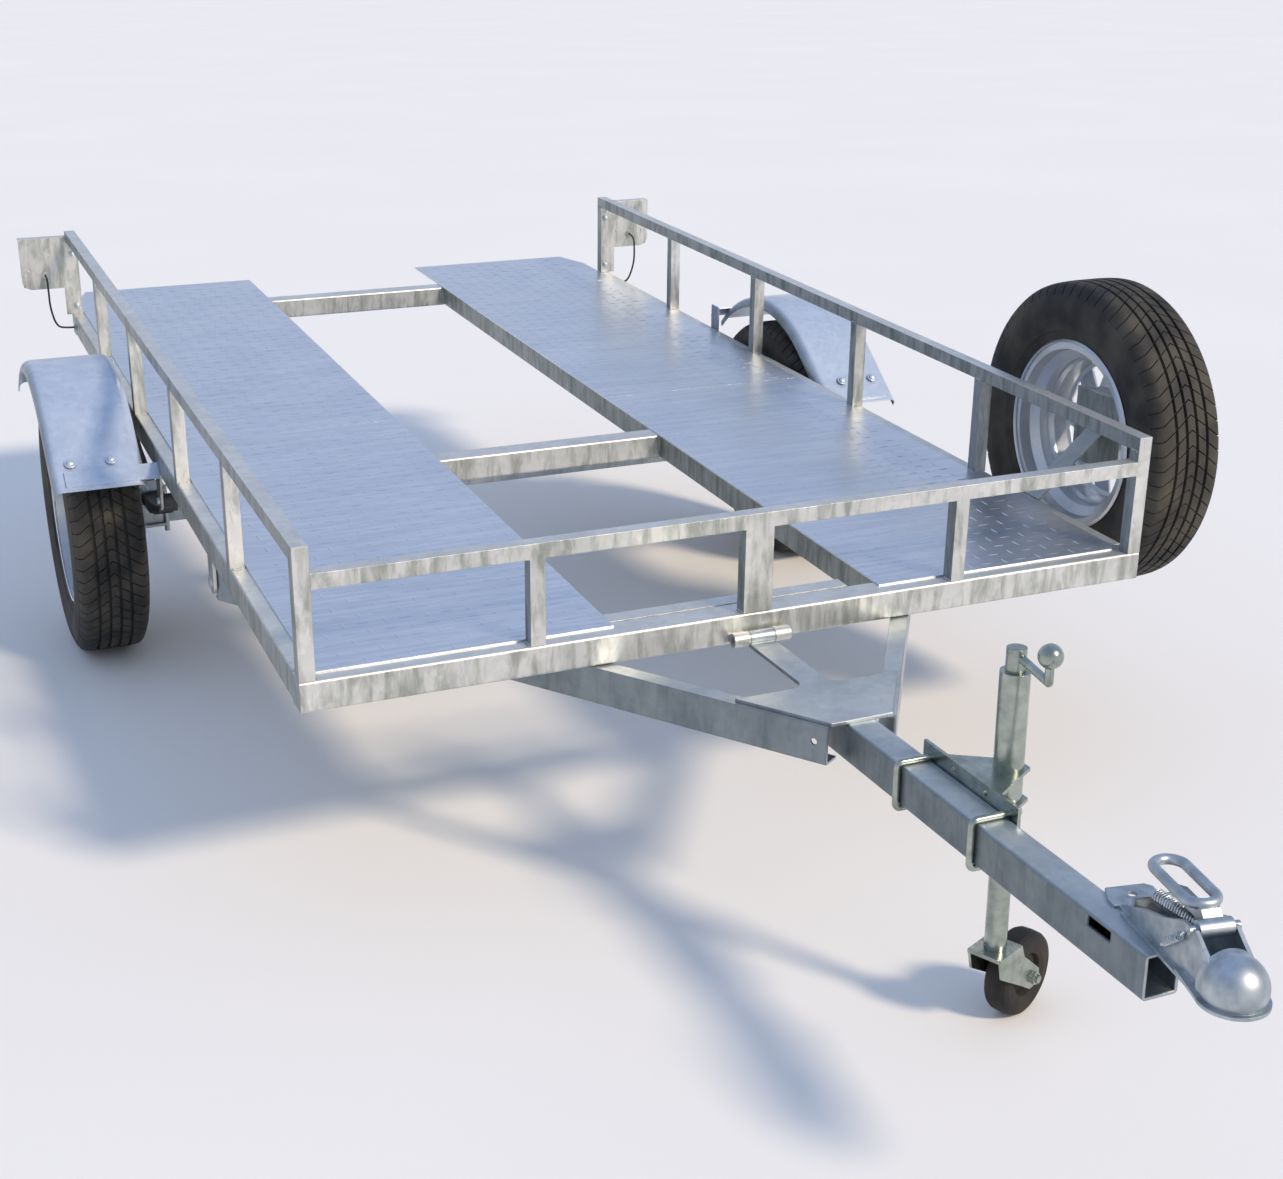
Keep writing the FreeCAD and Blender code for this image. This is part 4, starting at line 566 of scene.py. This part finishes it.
def rubber(name, deep, dusty, rough=0.72):
    """Rubber with cloudy dust and a fine moulded grain."""
    material, tree, shader = new_material(name)
    spot = add(tree, "TexCoord").outputs["Object"]
    dust = add(tree, "TexNoise", {"Vector": spot, "Scale": 14.0, "Detail": 6.0}).outputs["Fac"]
    tree.links.new(ramp(tree, dust, [(0.35, deep), (0.72, dusty)]), shader.inputs["Base Color"])
    tree.links.new(between(tree, dust, rough - 0.14, rough + 0.14), shader.inputs["Roughness"])
    shader.inputs["Specular IOR Level"].default_value = 0.4
    grain = add(tree, "TexNoise", {"Vector": spot, "Scale": 900.0}).outputs["Fac"]
    bump = add(tree, "Bump", {"Height": grain, "Strength": 0.25, "Distance": 0.0004})
    tree.links.new(bump.outputs["Normal"], shader.inputs["Normal"])
    return material


TYRE_R = 0.29
PITCHES = 66
SIPE_DEPTH = 0.0048
SLANT = 0.75
WHEEL_X = 0.853
SPARE = (0.894, 0.35, 0.158)
tyre_rubber = rubber("Tyre rubber", "1e1e1f", "4e4a41")

# Half of the tyre's section from the bead out to the middle of the tread, in metres: place along
# the axle, radius, and how deep the sipes go there as a share of their full depth.
HALF_TYRE = [
    (0.0566, 0.1662, 0), (0.0574, 0.175, 0), (0.0598, 0.184, 0), (0.065, 0.1955, 0),
    (0.0668, 0.1985, 0), (0.0692, 0.2, 0), (0.0694, 0.203, 0), (0.0705, 0.2075, 0),
    (0.0742, 0.219, 0), (0.0768, 0.2305, 0), (0.0775, 0.238, 0), (0.0771, 0.2455, 0),
    (0.0766, 0.2475, 0), (0.0768, 0.249, 0), (0.0764, 0.251, 0), (0.0752, 0.2565, 0),
    (0.074, 0.2612, 0), (0.0722, 0.266, 0), (0.0712, 0.2668, 0.5), (0.07, 0.2716, 0.8),
    (0.0668, 0.2782, 1), (0.0625, 0.2838, 1), (0.0575, 0.2872, 1), (0.052, 0.2884, 1),
    (0.044, 0.2892, 1), (0.0362, 0.2896, 1), (0.0354, 0.2838, 0), (0.0306, 0.2838, 0),
    (0.0298, 0.2898, 1), (0.022, 0.29, 1), (0.0142, 0.29, 1), (0.0134, 0.2838, 0),
    (0.0086, 0.2838, 0), (0.0078, 0.29, 1), (0.0, 0.29, 1)]


def tyre_skin():
    """Tyre about x: radius r(a) - d inside a sipe, at angle (k + f(a)) 2 pi / n, f = slant |a| / r."""
    half = np.array(HALF_TYRE)
    other = half[-2::-1] * (-1, 1, 1)
    section = np.concatenate([half, other])
    inside = np.array([(-0.052, 0.172, 0), (-0.068, 0.225, 0), (-0.06, 0.268, 0), (0, 0.277, 0),
                       (0.06, 0.268, 0), (0.068, 0.225, 0), (0.052, 0.172, 0)])
    section = np.concatenate([section, inside])
    parts = np.array([0.0, 0.012, 0.085, 0.1, 0.4, 0.7])
    column = (np.arange(PITCHES)[:, None] + parts).ravel() * 2 * math.pi / PITCHES
    in_sipe = np.tile((parts > 0.005) & (parts < 0.09), PITCHES)
    a, r, depth = section.T
    lean = SLANT * np.minimum(np.abs(a), 0.06) / TYRE_R
    angle = column[None, :] + lean[:, None]
    radius = r[:, None] - SIPE_DEPTH * depth[:, None] * in_sipe[None, :]
    corners = np.stack([np.repeat(a[:, None], len(column), axis=1), radius * np.cos(angle),
                        radius * np.sin(angle)], axis=-1)
    rows, columns = corners.shape[:2]
    index = np.arange(rows * columns).reshape(rows, columns)
    index = np.vstack([index, index[:1]])
    index = np.hstack([index, index[:, :1]])
    quads = np.stack([index[:-1, :-1], index[:-1, 1:], index[1:, 1:], index[1:, :-1]], axis=-1)
    return corners.reshape(-1, 3), quads.reshape(-1, 4).tolist()


for name, middle, body in (("wheel_tyre_left", (-WHEEL_X, AXLE.y, AXLE.z), "wheel_left"),
                           ("wheel_tyre_right", (WHEEL_X, AXLE.y, AXLE.z), "wheel_right"),
                           ("spare_tyre", SPARE, "bed")):
    corners, faces = tyre_skin()
    made = piece("treaded_" + name, corners + middle, faces, body, "tyre_rubber", tyre_rubber,
                 BED, sharp=28)
    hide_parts(name)


# Jockey wheel: a small solid wheel, moulded in black rubber, on the fork's bolt. Dust from the yard
# makes it brown.

dress(rubber("Jockey wheel rubber", "131315", "3a342c"), ["jockey_wheel"])


# Tail lamps: moulded gloss plastic, red with an amber turn signal at the outer end. The lens is a
# ribbed pillow over the housing's rear face, and two domed bolts hold its plate to the last post.

LENS_X = (0.7555, 0.8625)
LENS_Z = (0.1295, 0.242)
LENS_Y = 2.5228
LENS_RISE, RIB, RIB_PITCH = 0.0036, 0.0004, 0.0048
LAMP_BOLTS = ((0.7375, 0.074), (0.7375, 0.208))
LAMP_BOLT_Y = 2.4685

lens, tree, shader = new_material("Lamp lens")
spot = add(tree, "TexCoord").outputs["Object"]
across = add(tree, "SeparateXYZ", {"Vector": spot}).outputs["X"]
width = add(tree, "Math", {0: across}, operation="ABSOLUTE").outputs["Value"]
zone = add(tree, "MapRange", {"Value": width, "From Min": 0.824, "From Max": 0.826})
dust = add(tree, "TexNoise", {"Vector": spot, "Scale": 60.0, "Detail": 5.0}).outputs["Fac"]
colour = ramp(tree, zone.outputs["Result"], [(0.0, "a01212"), (1.0, "d8730c")])
tree.links.new(multiply(tree, 0.3, colour, ramp(tree, dust, [(0.4, "a0a0a0"), (0.7, "ffffff")])),
               shader.inputs["Base Color"])
tree.links.new(between(tree, dust, 0.1, 0.28), shader.inputs["Roughness"])
shader.inputs["Coat Weight"].default_value = 0.6
dress(lens, ["lamp_left", "lamp_right"])


def lens_face(sign):
    """Lens: rise (1 - p^8) (1 - q^8) (h + rib sin(2 pi x / pitch)), p and q from -1 to 1."""
    x = np.linspace(*LENS_X, 133)
    z = np.linspace(*LENS_Z, 25)
    p, q = np.linspace(-1, 1, len(x)), np.linspace(-1, 1, len(z))
    out = (1 - q[:, None] ** 8) * (1 - p[None, :] ** 8)
    out = out * (LENS_RISE + RIB * np.sin(2 * math.pi * x / RIB_PITCH)[None, :])
    corners = np.stack([np.broadcast_to(sign * x, out.shape), LENS_Y + out,
                        np.broadcast_to(z[:, None], out.shape)], axis=-1)
    index = np.arange(out.size).reshape(out.shape)[:, ::sign]
    quads = np.stack([index[:-1, :-1], index[1:, :-1], index[1:, 1:], index[:-1, 1:]], axis=-1)
    return corners.reshape(-1, 3), quads.reshape(-1, 4).tolist()


for side, sign in (("left", -1), ("right", 1)):
    piece(f"lamp_lens_{side}", *lens_face(sign), "bed", "lamp_plastic", lens, BED, sharp=50)
    heads = [dome_bolt((sign * x, LAMP_BOLT_Y, z), (0, -1, 0), 0.0052) for x, z in LAMP_BOLTS]
    piece(f"lamp_bolts_{side}", *joined(heads), "bed", "galvanised", guard_sheet, BED)


# Lamp leads: black sheathed two-core lead, straight out of its gland behind the lamp plate, then
# down in a loose bend and into the side rail.

LEAD_R = 0.0025
GLAND = Vector((0.81, 2.4685, 0.158))
RAIL_GLAND = Vector((0.754, 2.44, 0.025))
LEAD_ROUTE = [GLAND, GLAND + Vector((0, -0.034, 0)), GLAND + Vector((0, -0.04, -0.036)),
              GLAND + Vector((0, -0.038, -0.076)), RAIL_GLAND + Vector((0.044, 0.002, 0.006)),
              RAIL_GLAND + Vector((0.022, 0, 0)), RAIL_GLAND]

sheath, tree, shader = new_material("Lead sheath")
spot = add(tree, "TexCoord").outputs["Object"]
scuff = add(tree, "TexNoise", {"Vector": spot, "Scale": 120.0, "Detail": 4.0}).outputs["Fac"]
tree.links.new(ramp(tree, scuff, [(0.4, "141416"), (0.8, "2c2c2e")]), shader.inputs["Base Color"])
tree.links.new(between(tree, scuff, 0.35, 0.6), shader.inputs["Roughness"])

for side, sign in (("left", -1), ("right", 1)):
    curve = bpy.data.curves.new(f"lead_{side}", "CURVE")
    curve.dimensions = "3D"
    curve.bevel_depth = LEAD_R
    curve.bevel_resolution = 4
    curve.resolution_u = 12
    spline = curve.splines.new("NURBS")
    spline.points.add(len(LEAD_ROUTE) - 1)
    for point, place in zip(spline.points, LEAD_ROUTE):
        there = BED @ Vector((sign * place.x, place.y, place.z))
        point.co = (*there, 1.0)
    spline.order_u = 3
    spline.use_endpoint_u = True
    curve.materials.append(sheath)
    lead = bpy.data.objects.new(f"lead_{side}_run", curve)
    bpy.context.scene.collection.objects.link(lead)
    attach(lead, "bed")
    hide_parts(f"lamp_lead_{side}")
    start = BED @ Vector((sign * GLAND.x, GLAND.y, GLAND.z))
